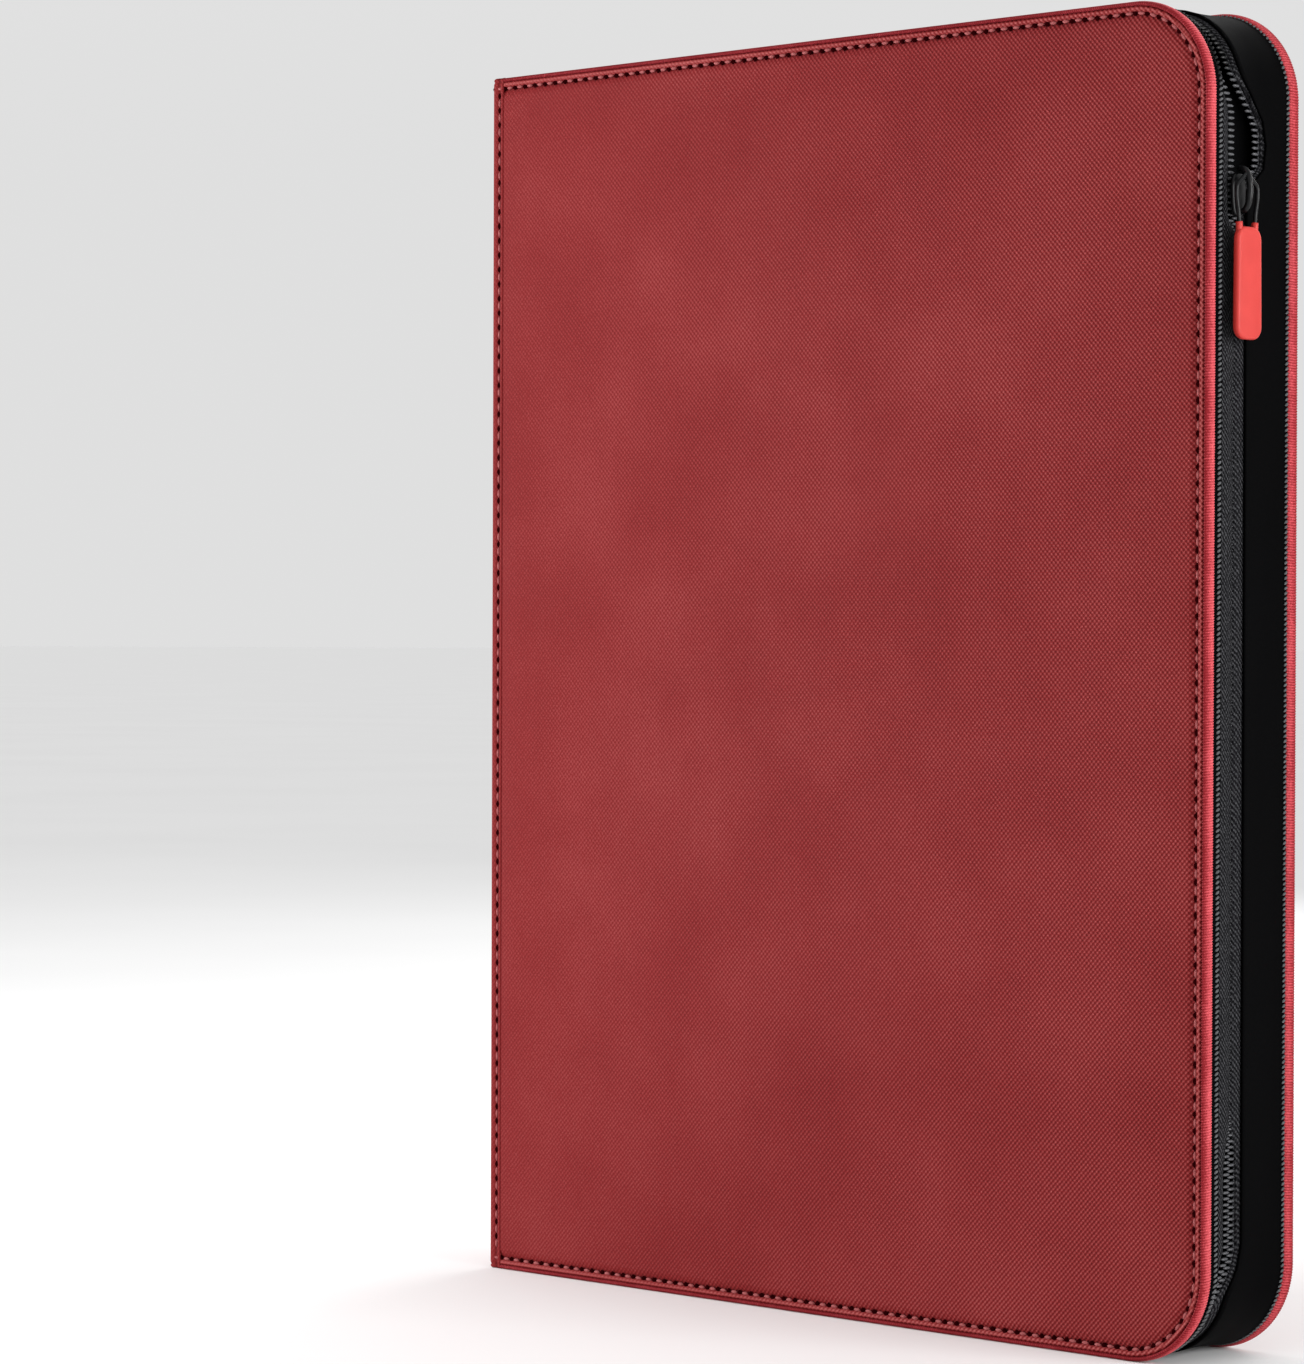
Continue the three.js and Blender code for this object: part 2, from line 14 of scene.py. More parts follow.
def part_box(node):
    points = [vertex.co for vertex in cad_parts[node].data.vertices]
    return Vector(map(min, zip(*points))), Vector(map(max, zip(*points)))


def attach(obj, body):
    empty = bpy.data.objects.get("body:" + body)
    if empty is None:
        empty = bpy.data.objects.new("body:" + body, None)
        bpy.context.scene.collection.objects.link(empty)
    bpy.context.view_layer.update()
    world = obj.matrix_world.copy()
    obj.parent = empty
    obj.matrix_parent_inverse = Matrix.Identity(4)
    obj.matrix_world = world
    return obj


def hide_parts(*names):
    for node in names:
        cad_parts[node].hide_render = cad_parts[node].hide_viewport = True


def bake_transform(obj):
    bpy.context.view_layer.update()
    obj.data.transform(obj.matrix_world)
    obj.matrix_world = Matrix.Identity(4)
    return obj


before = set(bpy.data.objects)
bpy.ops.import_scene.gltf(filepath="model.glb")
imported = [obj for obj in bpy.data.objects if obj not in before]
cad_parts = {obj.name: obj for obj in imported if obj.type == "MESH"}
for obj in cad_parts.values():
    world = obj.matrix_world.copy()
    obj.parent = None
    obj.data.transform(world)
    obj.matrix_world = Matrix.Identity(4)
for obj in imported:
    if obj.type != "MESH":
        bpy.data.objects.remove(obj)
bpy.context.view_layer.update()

# ---- Driving dimensions, from the frame where it has them ----
MM = 0.001
ORIGIN = np.array([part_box("spine_skin")[0].x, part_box("front_skin")[0].y, 0.0])
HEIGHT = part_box("spine_skin")[1].z / MM
WIDTH = (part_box("front_skin")[1].x - ORIGIN[0]) / MM
THICK = (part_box("back_skin")[1].y - ORIGIN[1]) / MM
MID_Y = THICK / 2
MID_Z = HEIGHT / 2
CORNER = 24.0  # radius of the covers' fore-edge corners
HINGE = 4.2  # width of the cloth strip round each corner of the spine
HINGE_ROUND = 1.1  # radius of its fold
COVER_START = 4.5  # x where the covers' rolled edges begin
COVER = 3.4  # a cover's thickness
GUSSET_START = 18.0  # x where the gusset and the zipper begin
SEAM_INSET = 3.1  # the stitched line round each cover, in from its edge
BEAD_WIDTH = 1.3  # the rolled edge, seen from the front
BEAD_DEPTH = 3.75  # and from the fore edge
RIDGE_END = 3.1  # inset of the cloth's deepest line, under the stitches
SEAM_X = 2.9  # the stitched line along the spine
STITCH_PITCH = 4.1
RIB_PITCH = 0.68  # of the cloth ribs round the rolled edge

SIDES = ("front", "back")


def in_mm(node):
    """A CAD node's lowest and highest corners in this script's millimetres."""
    low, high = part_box(node)
    return (np.array(low) - ORIGIN) / MM, (np.array(high) - ORIGIN) / MM


def depth(side, value):
    """y at a depth below that cover's outer face."""
    return value if side == "front" else THICK - value


def smooth(t):
    """A soft step from 0 to 1."""
    t = np.clip(t, 0.0, 1.0)
    return t * t * (3 - 2 * t)


def hump(x, middle, width):
    """A soft hump, 1 at its middle."""
    return np.exp(-((x - middle) / width) ** 2)


def end_roll(end, drop):
    """How far cloth drops away as it rounds over a board, at distances from the board's end."""
    t = 1 - np.clip(end / 0.95, 0, 1)
    return drop * (1 - np.sqrt(1 - t * t))


# ---- Mesh code ----
def in_scene(name, data):
    """An object that shows a mesh, a lamp or a camera."""
    made = bpy.data.objects.new(name, data)
    bpy.context.scene.collection.objects.link(made)
    return made


def grid_faces(rows, columns, wrap=False, offset=0):
    """Quads over a grid of points stored row by row; wrap joins the last column to the first."""
    r, c = np.meshgrid(np.arange(rows - 1), np.arange(columns if wrap else columns - 1), indexing="ij")
    after = (c + 1) % columns
    quads = np.stack([r * columns + c, r * columns + after,
                      (r + 1) * columns + after, (r + 1) * columns + c], -1)
    return (quads.reshape(-1, 4) + offset).tolist()


def piece(name, points, faces, material, outward=None, smooth_faces=True):
    """A Blender object from points in millimetres. outward turns an open sheet's faces that way."""
    mesh = bpy.data.meshes.new(name)
    mesh.from_pydata((np.asarray(points, float) * MM + ORIGIN).tolist(), [], faces)
    bm = bmesh.new()
    bm.from_mesh(mesh)
    bmesh.ops.recalc_face_normals(bm, faces=bm.faces)
    if outward is not None:
        total = sum((f.normal * f.calc_area() for f in bm.faces), Vector())
        if total.dot(Vector(outward)) < 0:
            bmesh.ops.reverse_faces(bm, faces=bm.faces)
    bm.to_mesh(mesh)
    bm.free()
    mesh.polygons.foreach_set("use_smooth", [smooth_faces] * len(mesh.polygons))
    mesh.materials.append(MATERIALS[material])
    return in_scene(name, mesh)


def modified(obj, kind, **settings):
    """Gives a piece a modifier and applies it."""
    modifier = obj.modifiers.new(kind, kind)
    for key, value in settings.items():
        setattr(modifier, key, value)
    graph = bpy.context.evaluated_depsgraph_get()
    mesh = bpy.data.meshes.new_from_object(obj.evaluated_get(graph))
    obj.modifiers.clear()
    obj.data = mesh


def solidify(obj, thickness):
    """Gives a sheet a thickness on the side away from its faces."""
    modified(obj, "SOLIDIFY", thickness=thickness * MM, offset=-1)


def bevel(obj, width, segments):
    """Rounds a solid's sharp edges."""
    modified(obj, "BEVEL", width=width * MM, segments=segments, limit_method="ANGLE",
             angle_limit=math.radians(40))


def extruded(name, outline, low, high, axis, material, round_by=0.0, segments=3):
    """A flat outline made solid between low and high along x, y or z, with rounded edges."""
    outline = np.asarray(outline, float)
    count = len(outline)
    points = np.zeros((2 * count, 3))
    others = [k for k in range(3) if k != axis]
    for half, level in enumerate((low, high)):
        rows = slice(half * count, (half + 1) * count)
        points[rows, axis] = level
        points[rows, others[0]] = outline[:, 0]
        points[rows, others[1]] = outline[:, 1]
    sides = [[i, (i + 1) % count, count + (i + 1) % count, count + i] for i in range(count)]
    ends = [list(range(count)), list(range(count, 2 * count))]
    made = piece(name, points, ends + sides, material, smooth_faces=round_by > 0)
    if round_by:
        bevel(made, round_by, segments)
    return made


def round_box(half_w, half_h, radius, steps=6):
    """The outline of a rectangle with round corners, about its centre."""
    points = []
    for cx, cy, start in ((1, 1, 0), (-1, 1, 90), (-1, -1, 180), (1, -1, 270)):
        for i in range(steps + 1):
            a = math.radians(start + 90 * i / steps)
            points.append((cx * (half_w - radius) + radius * math.cos(a),
                           cy * (half_h - radius) + radius * math.sin(a)))
    return np.array(points)


def capsule(rings, sides):
    """A rounded unit grain from -1 to 1 along its first axis."""
    points = []
    for i in range(rings):
        t = -0.96 + 1.92 * i / (rings - 1)
        radius = (1 - abs(t) ** 3) ** 0.75
        for k in range(sides):
            a = 2 * math.pi * k / sides
            points.append((t, radius * math.cos(a), radius * math.sin(a)))
    faces = grid_faces(rings, sides, wrap=True)
    faces += [list(range(sides)), list(range((rings - 1) * sides, rings * sides))]
    return np.array(points), faces


def grains(name, centres, along, across, out, size, material, rings=5, sides=6):
    """Many small grains as one piece: stitches or zipper teeth. size is (length, width, height)."""
    template, faces = capsule(rings, sides)
    centres, along, across, out = (np.asarray(a, float) for a in (centres, along, across, out))
    half = np.asarray(size, float) / 2
    points = (centres[:, None] + template[None, :, 0:1] * along[:, None] * half[0]
              + template[None, :, 1:2] * across[:, None] * half[1]
              + template[None, :, 2:3] * out[:, None] * half[2]).reshape(-1, 3)
    count = len(template)
    every = [[v + count * k for v in f] for k in range(len(centres)) for f in faces]
    return piece(name, points, every, material)


def tube(name, path, radius, material, closed=False, sides=10):
    """A round wire along a path of points."""
    path = np.asarray(path, float)
    ahead = np.roll(path, -1, 0) - path
    behind = path - np.roll(path, 1, 0)
    if not closed:
        ahead[-1] = behind[-1]
        behind[0] = ahead[0]
    along = ahead / np.linalg.norm(ahead, axis=1)[:, None] + behind / np.linalg.norm(behind, axis=1)[:, None]
    along /= np.linalg.norm(along, axis=1)[:, None]
    normal = np.cross(along[0], (0.3, 0.5, 0.81))
    rings = []
    for point, way in zip(path, along):
        normal = normal - way * normal.dot(way)
        normal /= np.linalg.norm(normal)
        other = np.cross(way, normal)
        for k in range(sides):
            a = 2 * math.pi * k / sides
            rings.append(point + radius * (math.cos(a) * normal + math.sin(a) * other))
    count = len(path)
    faces = grid_faces(count, sides, wrap=True)
    if closed:
        last = (count - 1) * sides
        faces += [[last + k, last + (k + 1) % sides, (k + 1) % sides, k] for k in range(sides)]
    else:
        faces += [list(range(sides)), list(range((count - 1) * sides, count * sides))]
    return piece(name, rings, faces, material)


def joined(name, *pieces):
    """Several pieces of one material made into one object."""
    mesh = bpy.data.meshes.new(name)
    bm = bmesh.new()
    for one in pieces:
        bm.from_mesh(one.data)
    bm.to_mesh(mesh)
    bm.free()
    mesh.materials.append(pieces[0].data.materials[0])
    for one in pieces:
        bpy.data.objects.remove(one)
    return in_scene(name, mesh)


# ---- Round the covers' outline ----
TAPE_INSET = 1.7  # of the zipper tape's outer face; the round corners are measured along it
ARC = (CORNER - TAPE_INSET) * math.pi / 2
FORE = HEIGHT - 2 * CORNER


def rim(s, start):
    """Points (x, z) of a cover's outline and the way in, at distances s from x = start at the top."""
    s = np.asarray(s, float)
    top = WIDTH - CORNER - start
    ends = np.cumsum([top, ARC, FORE, ARC])
    upper = (math.pi / 2) * (1 - (s - ends[0]) / ARC)
    lower = -(math.pi / 2) * (s - ends[2]) / ARC
    part = [s <= ends[0], s <= ends[1], s <= ends[2], s <= ends[3]]
    x = np.select(part, [start + s, WIDTH - CORNER + CORNER * np.cos(upper), WIDTH + 0 * s,
                         WIDTH - CORNER + CORNER * np.cos(lower)], WIDTH - CORNER - (s - ends[3]))
    z = np.select(part, [HEIGHT + 0 * s, HEIGHT - CORNER + CORNER * np.sin(upper),
                         HEIGHT - CORNER - (s - ends[1]), CORNER + CORNER * np.sin(lower)], 0 * s)
    in_x = np.select(part, [0 * s, -np.cos(upper), -1 + 0 * s, -np.cos(lower)], 0 * s)
    in_z = np.select(part, [-1 + 0 * s, -np.sin(upper), 0 * s, -np.sin(lower)], 1 + 0 * s)
    return np.stack([x, z], -1), np.stack([in_x, in_z], -1)


def rim_length(start):
    """The outline's length from x = start at the top round to x = start at the bottom."""
    return 2 * (WIDTH - CORNER - start) + 2 * ARC + FORE


def at_rim(s, start, inset, y):
    """3-D points at distances s, an inset in from the outline and a height y through the binder."""
    point, inward = rim(s, start)
    inset = np.broadcast_to(inset, np.shape(s))
    y = np.broadcast_to(y, np.shape(s))
    return np.stack([point[:, 0] + inward[:, 0] * inset, y, point[:, 1] + inward[:, 1] * inset], -1)


def rim_axes(s, start):
    """Unit directions at distances s: along the outline, outwards from it, and through the binder."""
    _, inward = rim(s, start)
    out = np.stack([-inward[:, 0], 0 * s, -inward[:, 1]], -1)
    through = np.tile((0.0, 1.0, 0.0), (len(s), 1))
    return np.cross(out, through), out, through


def rim_steps(start, straight, turn):
    """Distances round the outline, closer together in the two corners."""
    top = WIDTH - CORNER - start
    stops = np.cumsum([0, top, ARC, FORE, ARC, top])
    counts = [max(2, int(np.ceil(top / straight))), turn, max(2, int(np.ceil(FORE / straight))), turn]
    counts.append(counts[0])
    runs = [np.linspace(a, b, n + 1)[:-1] for a, b, n in zip(stops[:-1], stops[1:], counts)]
    return np.concatenate([*runs, [stops[-1]]])


def strip(name, s, start, section, material):
    """A closed piece whose section, a list of (inset, y), runs round the outline."""
    rows = np.stack([at_rim(s, start, inset, y) for inset, y in section], 1)
    count = rows.shape[1]
    faces = grid_faces(len(s), count, wrap=True)
    faces += [list(range(count)), list(range((len(s) - 1) * count, len(s) * count))]
    return piece(name, rows.reshape(-1, 3), faces, material)


# ---- Materials ----
class Shader:
    """A small helper for building one node material."""

    def __init__(self, name, **settings):
        self.material = bpy.data.materials.new(name)
        self.material.use_nodes = True
        self.tree = self.material.node_tree
        self.bsdf = self.tree.nodes["Principled BSDF"]
        for key, value in settings.items():
            self.bsdf.inputs[key.replace("_", " ")].default_value = value
        coordinates = self.tree.nodes.new("ShaderNodeTexCoord")
        self.position = coordinates.outputs["Object"]

    def put(self, node, index, value):
        socket = node.inputs[index]
        if isinstance(value, bpy.types.NodeSocket):
            self.tree.links.new(value, socket)
        else:
            socket.default_value = value

    def math(self, operation, a, b=0.0):
        node = self.tree.nodes.new("ShaderNodeMath")
        node.operation = operation
        self.put(node, 0, a)
        self.put(node, 1, b)
        return node.outputs[0]

    def add(self, *values):
        total = values[0]
        for value in values[1:]:
            total = self.math("ADD", total, value)
        return total

    def times(self, a, b):
        return self.math("MULTIPLY", a, b)

    def axes(self):
        """The place's x, y and z in metres."""
        node = self.tree.nodes.new("ShaderNodeSeparateXYZ")
        self.put(node, 0, self.position)
        return node.outputs["X"], node.outputs["Y"], node.outputs["Z"]

    def wave(self, along, pitch):
        """A sine from -1 to 1 along a coordinate in metres, one period for each pitch in millimetres."""
        return self.math("SINE", self.times(along, 2 * math.pi / (pitch * MM)))

    def attribute(self, name):
        """A value kept with the mesh's points; 0 where the mesh has none."""
        node = self.tree.nodes.new("ShaderNodeAttribute")
        node.attribute_name = name
        return node.outputs["Fac"]

    def noise(self, size, detail=3.0, roughness=0.55, stretch=None):
        """Smooth noise from 0 to 1 with lumps about size millimetres across."""
        source = self.position
        if stretch:
            mapping = self.tree.nodes.new("ShaderNodeMapping")
            self.put(mapping, "Scale", stretch)
            self.put(mapping, "Vector", source)
            source = mapping.outputs[0]
        node = self.tree.nodes.new("ShaderNodeTexNoise")
        self.put(node, "Vector", source)
        self.put(node, "Scale", 1 / (size * MM))
        self.put(node, "Detail", detail)
        self.put(node, "Roughness", roughness)
        return node.outputs[0]

    def lumps(self, strength, size, detail):
        """Noise about zero, from -strength / 2 to strength / 2."""
        return self.times(self.math("SUBTRACT", self.noise(size, detail), 0.5), strength)

    def ramp(self, value, *stops):
        """Colours at places from 0 to 1."""
        node = self.tree.nodes.new("ShaderNodeValToRGB")
        while len(node.color_ramp.elements) < len(stops):
            node.color_ramp.elements.new(0.5)
        for element, (place, colour) in zip(node.color_ramp.elements, stops):
            element.position = place
            element.color = (*colour, 1)
        self.put(node, 0, value)
        return node.outputs[0]

    def mix(self, factor, a, b):
        """Colour a where factor is 0, and b where it is 1."""
        node = self.tree.nodes.new("ShaderNodeMix")
        node.data_type = "RGBA"
        self.put(node, 0, factor)
        for index, value in ((6, a), (7, b)):
            self.put(node, index, (*value, 1) if isinstance(value, tuple) else value)
        return node.outputs[2]

    def colour(self, value):
        self.put(self.bsdf, "Base Color", value)

    def roughness(self, value, low, high):
        """Roughness from low, where value is 0, to high, where it is 1."""
        node = self.tree.nodes.new("ShaderNodeMapRange")
        self.put(node, 0, value)
        self.put(node, "To Min", low)
        self.put(node, "To Max", high)
        self.put(self.bsdf, "Roughness", node.outputs[0])

    def bump(self, height, distance):
        node = self.tree.nodes.new("ShaderNodeBump")
        self.put(node, "Distance", distance * MM)
        self.put(node, "Height", height)
        self.put(self.bsdf, "Normal", node.outputs[0])


def surface(name, tone, stops, grain=None, rough=None, bump=0.0, **settings):
    """A material coloured by one noise, with the same or a second noise for its roughness and bumps."""
    shader = Shader(name, **settings)
    tone = shader.noise(*tone)
    grain = shader.noise(*grain) if grain else tone
    shader.colour(shader.ramp(tone, *stops))
    if rough:
        shader.roughness(grain, *rough)
    if bump:
        shader.bump(grain, bump)
    return shader.material


WEAVE_PITCH = math.sqrt(2)  # of the cover cloth's diagonal ribs


def woven(name, plane):
    """The red cover cloth's two-way diagonal weave, on faces across x ("yz") or y ("xz").

    It is crisper towards the fore edge. On the front cover the ribs that climb to the right stand out at the
    bottom, and those that fall to the right at the top.
    """
    shader = Shader(name, Specular_IOR_Level=0.08)
    axes = dict(zip("xyz", shader.axes()))
    u, v = (axes[k] for k in plane)
    level = shader.math("DIVIDE", axes["z"], HEIGHT * MM)
    climbing = shader.wave(shader.math("SUBTRACT", u, v), WEAVE_PITCH)
    climbing = shader.times(climbing, shader.math("SUBTRACT", 0.19, shader.times(level, 0.10)))
    falling = shader.wave(shader.add(u, v), WEAVE_PITCH)
    falling = shader.times(falling, shader.add(0.08, shader.times(level, 0.11)))
    crisp = shader.add(shader.times(axes["x"], 3.2), 0.70)
    weave = shader.times(shader.add(climbing, falling), crisp)
    fibre = shader.lumps(0.35, 0.45, 2)
    # The mesh's painted-light value adds painted shade in the seams and a painted highlight along the ridge.
    value = shader.add(weave, fibre, shader.lumps(0.25, 45, 3), 0.5, shader.attribute("painted_light"))
    shader.colour(shader.ramp(value, (0.05, (0.036, 0.0006, 0.0010)), (0.5, (0.170, 0.0088, 0.0100)),
                              (0.97, (0.36, 0.078, 0.075))))
    shader.roughness(value, 0.8, 0.62)
    shader.bump(shader.add(weave, fibre), 0.2)
    return shader.material


def bound_cloth(name):
    """The smooth, finely grained red cloth of the rolled edges, with painted shade and highlights from the
    mesh's painted-light value.
    """
    shader = Shader(name, Specular_IOR_Level=0.12)
    grain = shader.noise(0.5, 3)
    value = shader.add(grain, shader.lumps(0.5, 14, 2), shader.attribute("painted_light"))
    shader.colour(shader.ramp(value, (0.05, (0.18, 0.006, 0.010)), (0.5, (0.45, 0.054, 0.066)),
                              (0.9, (0.60, 0.105, 0.122))))
    shader.roughness(value, 0.7, 0.5)
    shader.bump(grain, 0.05)
    return shader.material


def thread(name, dark, light, rough=0.6, specular=0.1):
    """Sewing thread or zipper coil, near black where the mesh's painted-light value is low: painted shade."""
    shader = Shader(name, Roughness=rough, Specular_IOR_Level=specular)
    fibre = shader.noise(0.4, 2)
    value = shader.add(fibre, shader.attribute("painted_light"))
    black = tuple(0.1 * c for c in dark)
    shader.colour(shader.ramp(value, (0.0, black), (0.25, dark), (0.75, light)))
    shader.bump(fibre, 0.04)
    return shader.material


def black_cloth(name, dark, light, size, rough, specular):
    """Fine black cloth with broad, faint patches."""
    shader = Shader(name, Specular_IOR_Level=specular)
    fine = shader.noise(size, 3)
    broad = shader.noise(22, 3)
    value = shader.add(shader.times(fine, 0.6), shader.times(broad, 0.4))
    shader.colour(shader.ramp(value, (0.3, dark), (0.7, light)))
    shader.roughness(broad, *rough)
    shader.bump(fine, 0.03)
    return shader.material


TAPE_RIB_PITCH = 1.45


def tape_cloth(name):
    """Zipper tape: coarse diagonal ribs across its width, broken up as a coarse weave is."""
    shader = Shader(name, Specular_IOR_Level=0.04)
    x, y, z = shader.axes()
    along = shader.add(shader.math("SUBTRACT", z, x), shader.lumps(0.0012, 3.0, 2))
    lean = shader.times(y, 1.25)
    ribs = shader.wave(shader.add(along, lean), TAPE_RIB_PITCH)
    cross = shader.wave(shader.math("SUBTRACT", along, lean), TAPE_RIB_PITCH)
    value = shader.add(shader.times(ribs, 0.20), shader.times(cross, 0.07), shader.lumps(1.1, 0.55, 3), 0.5)
    shader.colour(shader.ramp(value, (0.15, (0.0012, 0.0012, 0.0016)), (0.5, (0.0092, 0.0089, 0.0103)),
                              (0.85, (0.056, 0.056, 0.060))))
    shader.roughness(value, 0.85, 0.6)
    shader.bump(value, 0.35)
    return shader.material


def enamel(name, colour, scratch):
    """Black paint over cast metal, a little worn."""
    return surface(name, (1.6, 4, 0.65), ((0.45, colour), (0.8, scratch)), rough=(0.22, 0.42), bump=0.03,
                   Specular_IOR_Level=0.16, Coat_Weight=0.06, Coat_Roughness=0.12)


def rubber(name):
    """The pull tab's soft red rubber."""
    return surface(name, (9, 2), ((0.25, (0.41, 0.023, 0.018)), (0.8, (0.48, 0.034, 0.027))), (0.5, 2),
                   (0.42, 0.58), 0.025, Subsurface_Weight=0.1, Subsurface_Scale=0.0015,
                   Specular_IOR_Level=0.3)


def nickel(name):
    """Plated steel, brushed upwards."""
    return surface(name, (5, 3), ((0.3, (0.36, 0.36, 0.37)), (0.75, (0.50, 0.50, 0.51))),
                   (0.5, 4, 0.6, (1, 1, 0.04)), (0.16, 0.34), 0.02, Metallic=1.0)


def chipboard(name):
    """The covers' grey board."""
    return surface(name, (1.2, 5, 0.7), ((0.3, (0.13, 0.12, 0.10)), (0.7, (0.30, 0.28, 0.24))),
                   rough=(0.8, 0.95), bump=0.08)


def card_stock(name):
    """The pale coated board that shows as a border round a card's printed panel."""
    return surface(name, (0.8, 3), ((0.3, (0.40, 0.39, 0.35)), (0.7, (0.46, 0.45, 0.41))), bump=0.01,
                   Roughness=0.45)


def film(name, alpha, tint):
    """Clear pocket film with a faint cast and smudges."""
    shader = Shader(name, Alpha=alpha, Specular_IOR_Level=0.3)
    smudge = shader.noise(18, 3)
    low = tuple(0.82 * c for c in tint)
    shader.colour(shader.ramp(smudge, (0.3, low), (0.75, tint)))
    shader.roughness(smudge, 0.12, 0.3)
    shader.bump(shader.noise(30, 2), 0.25)
    return shader.material


def card_art(name):
    """Abstract printed panels, each in its own two tones with swirls and facets."""
    shader = Shader(name, Roughness=0.35)
    pick = shader.tree.nodes.new("ShaderNodeTexWhiteNoise")
    pick.noise_dimensions = "1D"
    shader.put(pick, "W", shader.attribute("card"))
    tones = ((0.0, (0.42, 0.10, 0.03)), (0.17, (0.05, 0.17, 0.36)), (0.34, (0.09, 0.26, 0.10)),
             (0.50, (0.36, 0.28, 0.05)), (0.67, (0.22, 0.07, 0.30)), (0.84, (0.04, 0.25, 0.28)))
    ground = shader.ramp(pick.outputs["Value"], *tones)
    other = shader.ramp(shader.math("FRACT", shader.times(pick.outputs["Value"], 7.3)), *tones)
    swirl = shader.noise(26, 2, 0.4)
    fine = shader.noise(6, 4, 0.6)
    mixed = shader.mix(shader.math("GREATER_THAN", swirl, 0.52), ground, other)
    shader.colour(shader.mix(shader.times(fine, 0.6), mixed, (0.50, 0.46, 0.38)))
    shader.bump(fine, 0.005)
    return shader.material


MATERIALS = {
    "face": woven("cover_weave_xz", "xz"),
    "spine": woven("cover_weave_yz", "yz"),
    "bead": bound_cloth("edge_cloth"),
    "thread": thread("red_thread", (0.20, 0.035, 0.036), (0.36, 0.10, 0.10)),
    # Near-black painted shade for the needle holes between stitches.
    "hole": thread("hole_shade_thread", (0.008, 0.0003, 0.0006), (0.022, 0.0010, 0.0015), 0.9, 0.0),
    "grey_thread": thread("grey_thread", (0.035, 0.036, 0.039), (0.12, 0.123, 0.127)),
    "gusset": black_cloth("gusset_cloth", (0.0006, 0.0006, 0.0007), (0.0014, 0.0014, 0.0016), 0.3,
                          (0.5, 0.68), 0.012),
    "lining": black_cloth("lining_cloth", (0.0030, 0.0030, 0.0034), (0.0075, 0.0075, 0.0083), 0.6,
                          (0.45, 0.6), 0.03),
    "tape": tape_cloth("zipper_tape"),
    "coil": thread("zipper_coil", (0.020, 0.021, 0.023), (0.10, 0.10, 0.108), 0.35, 0.35),
    "enamel": enamel("black_enamel", (0.0025, 0.0025, 0.003), (0.012, 0.012, 0.013)),
    "rubber": rubber("red_rubber"),
    "nickel": nickel("nickel_plate"),
    "board": chipboard("grey_board"),
    "cap": enamel("moulded_black", (0.006, 0.006, 0.007), (0.015, 0.015, 0.016)),
    "film": film("pocket_film", 0.22, (0.36, 0.41, 0.45)),
    "weld": film("weld_film", 0.75, (0.40, 0.45, 0.49)),
    "card": card_stock("card_stock"),
    "art": card_art("card_art"),
}


# ---- Camera, floor and lights ----
CAMERA_YAW = 44.96  # degrees from facing the front cover squarely
CAMERA_PITCH = 0.63
CAMERA_ROLL = 0.19
CAMERA_LENS = 120.5
FORE_EDGE_OFFSET = (136.4, 0.3, 1123.8)  # the fore edge's middle from the lens: right, down and ahead


def make_camera():
    """The camera, placed so that the fore edge's middle is at its offset from the lens."""
    yaw, pitch, roll = (math.radians(a) for a in (CAMERA_YAW, CAMERA_PITCH, CAMERA_ROLL))
    level = Vector((-math.sin(yaw), math.cos(yaw), 0))
    across = Vector((math.cos(yaw), math.sin(yaw), 0))
    up = Vector((0, 0, 1))
    ahead = math.cos(pitch) * level - math.sin(pitch) * up
    upright = math.cos(pitch) * up + math.sin(pitch) * level
    right = math.cos(roll) * across + math.sin(roll) * upright
    top = math.cos(roll) * upright - math.sin(roll) * across
    off_right, off_down, off_ahead = FORE_EDGE_OFFSET
    target = Vector((WIDTH, 0, MID_Z))
    place = target - off_right * right + off_down * top - off_ahead * ahead
    data = bpy.data.cameras.new("camera")
    data.lens = CAMERA_LENS
    data.sensor_width = 36
    camera = in_scene("camera", data)
    turn = Matrix((right, top, -ahead)).transposed().to_4x4()
    camera.matrix_world = Matrix.Translation(Vector(np.array(place) * MM + ORIGIN)) @ turn
    data.clip_start = 0.01
    data.clip_end = 50
    bpy.context.scene.camera = camera


FLOOR_TONE = 0.9
FLOOR_REACH = 60.0  # metres


def make_floor():
    """A pale sheet that runs far past the binder on every side."""
    low, high = ((FLOOR_TONE * share,) * 3 for share in (0.99, 1.01))
    pale = surface("pale_floor", (300, 2), ((0.3, low), (0.7, high)), Roughness=0.9, Specular_IOR_Level=0.0)
    points = [(x * FLOOR_REACH, y * FLOOR_REACH, 0) for x, y in ((-1, -1), (1, -1), (1, 1), (-1, 1))]
    mesh = bpy.data.meshes.new("floor")
    mesh.from_pydata(points, [], [[0, 1, 2, 3]])
    mesh.materials.append(pale)
    floor = in_scene("floor", mesh)


def area_light(name, place, size, power):
    """A square lamp that faces the binder's middle."""
    data = bpy.data.lights.new(name, "AREA")
    data.shape = "SQUARE"
    data.size = size
    data.energy = power
    lamp = in_scene(name, data)
    lamp.location = place
    lamp.rotation_mode = "QUATERNION"
    lamp.rotation_quaternion = (Vector((0, 0, MID_Z * MM)) - Vector(place)).to_track_quat("-Z", "Y")


HORIZON = 0.74  # brightness of the pale surroundings seen past the floor
SKY = 0.80  # brightness of the even light from above


def make_sky():
    """Even light from above, as pale as the floor at the horizon."""
    world = bpy.data.worlds.new("studio")
    world.use_nodes = True
    tree = world.node_tree
    direction = tree.nodes.new("ShaderNodeNewGeometry")
    split = tree.nodes.new("ShaderNodeSeparateXYZ")
    tree.links.new(direction.outputs["Position"], split.inputs[0])
    ramp = tree.nodes.new("ShaderNodeValToRGB")
    for element, (place, tone) in zip(ramp.color_ramp.elements, ((0.10, HORIZON), (0.30, SKY))):
        element.position = place
        element.color = (tone, tone, tone, 1)
    tree.links.new(split.outputs[2], ramp.inputs[0])
    tree.links.new(ramp.outputs[0], tree.nodes["Background"].inputs["Color"])
    bpy.context.scene.world = world
    bpy.context.scene.view_settings.view_transform = "Standard"


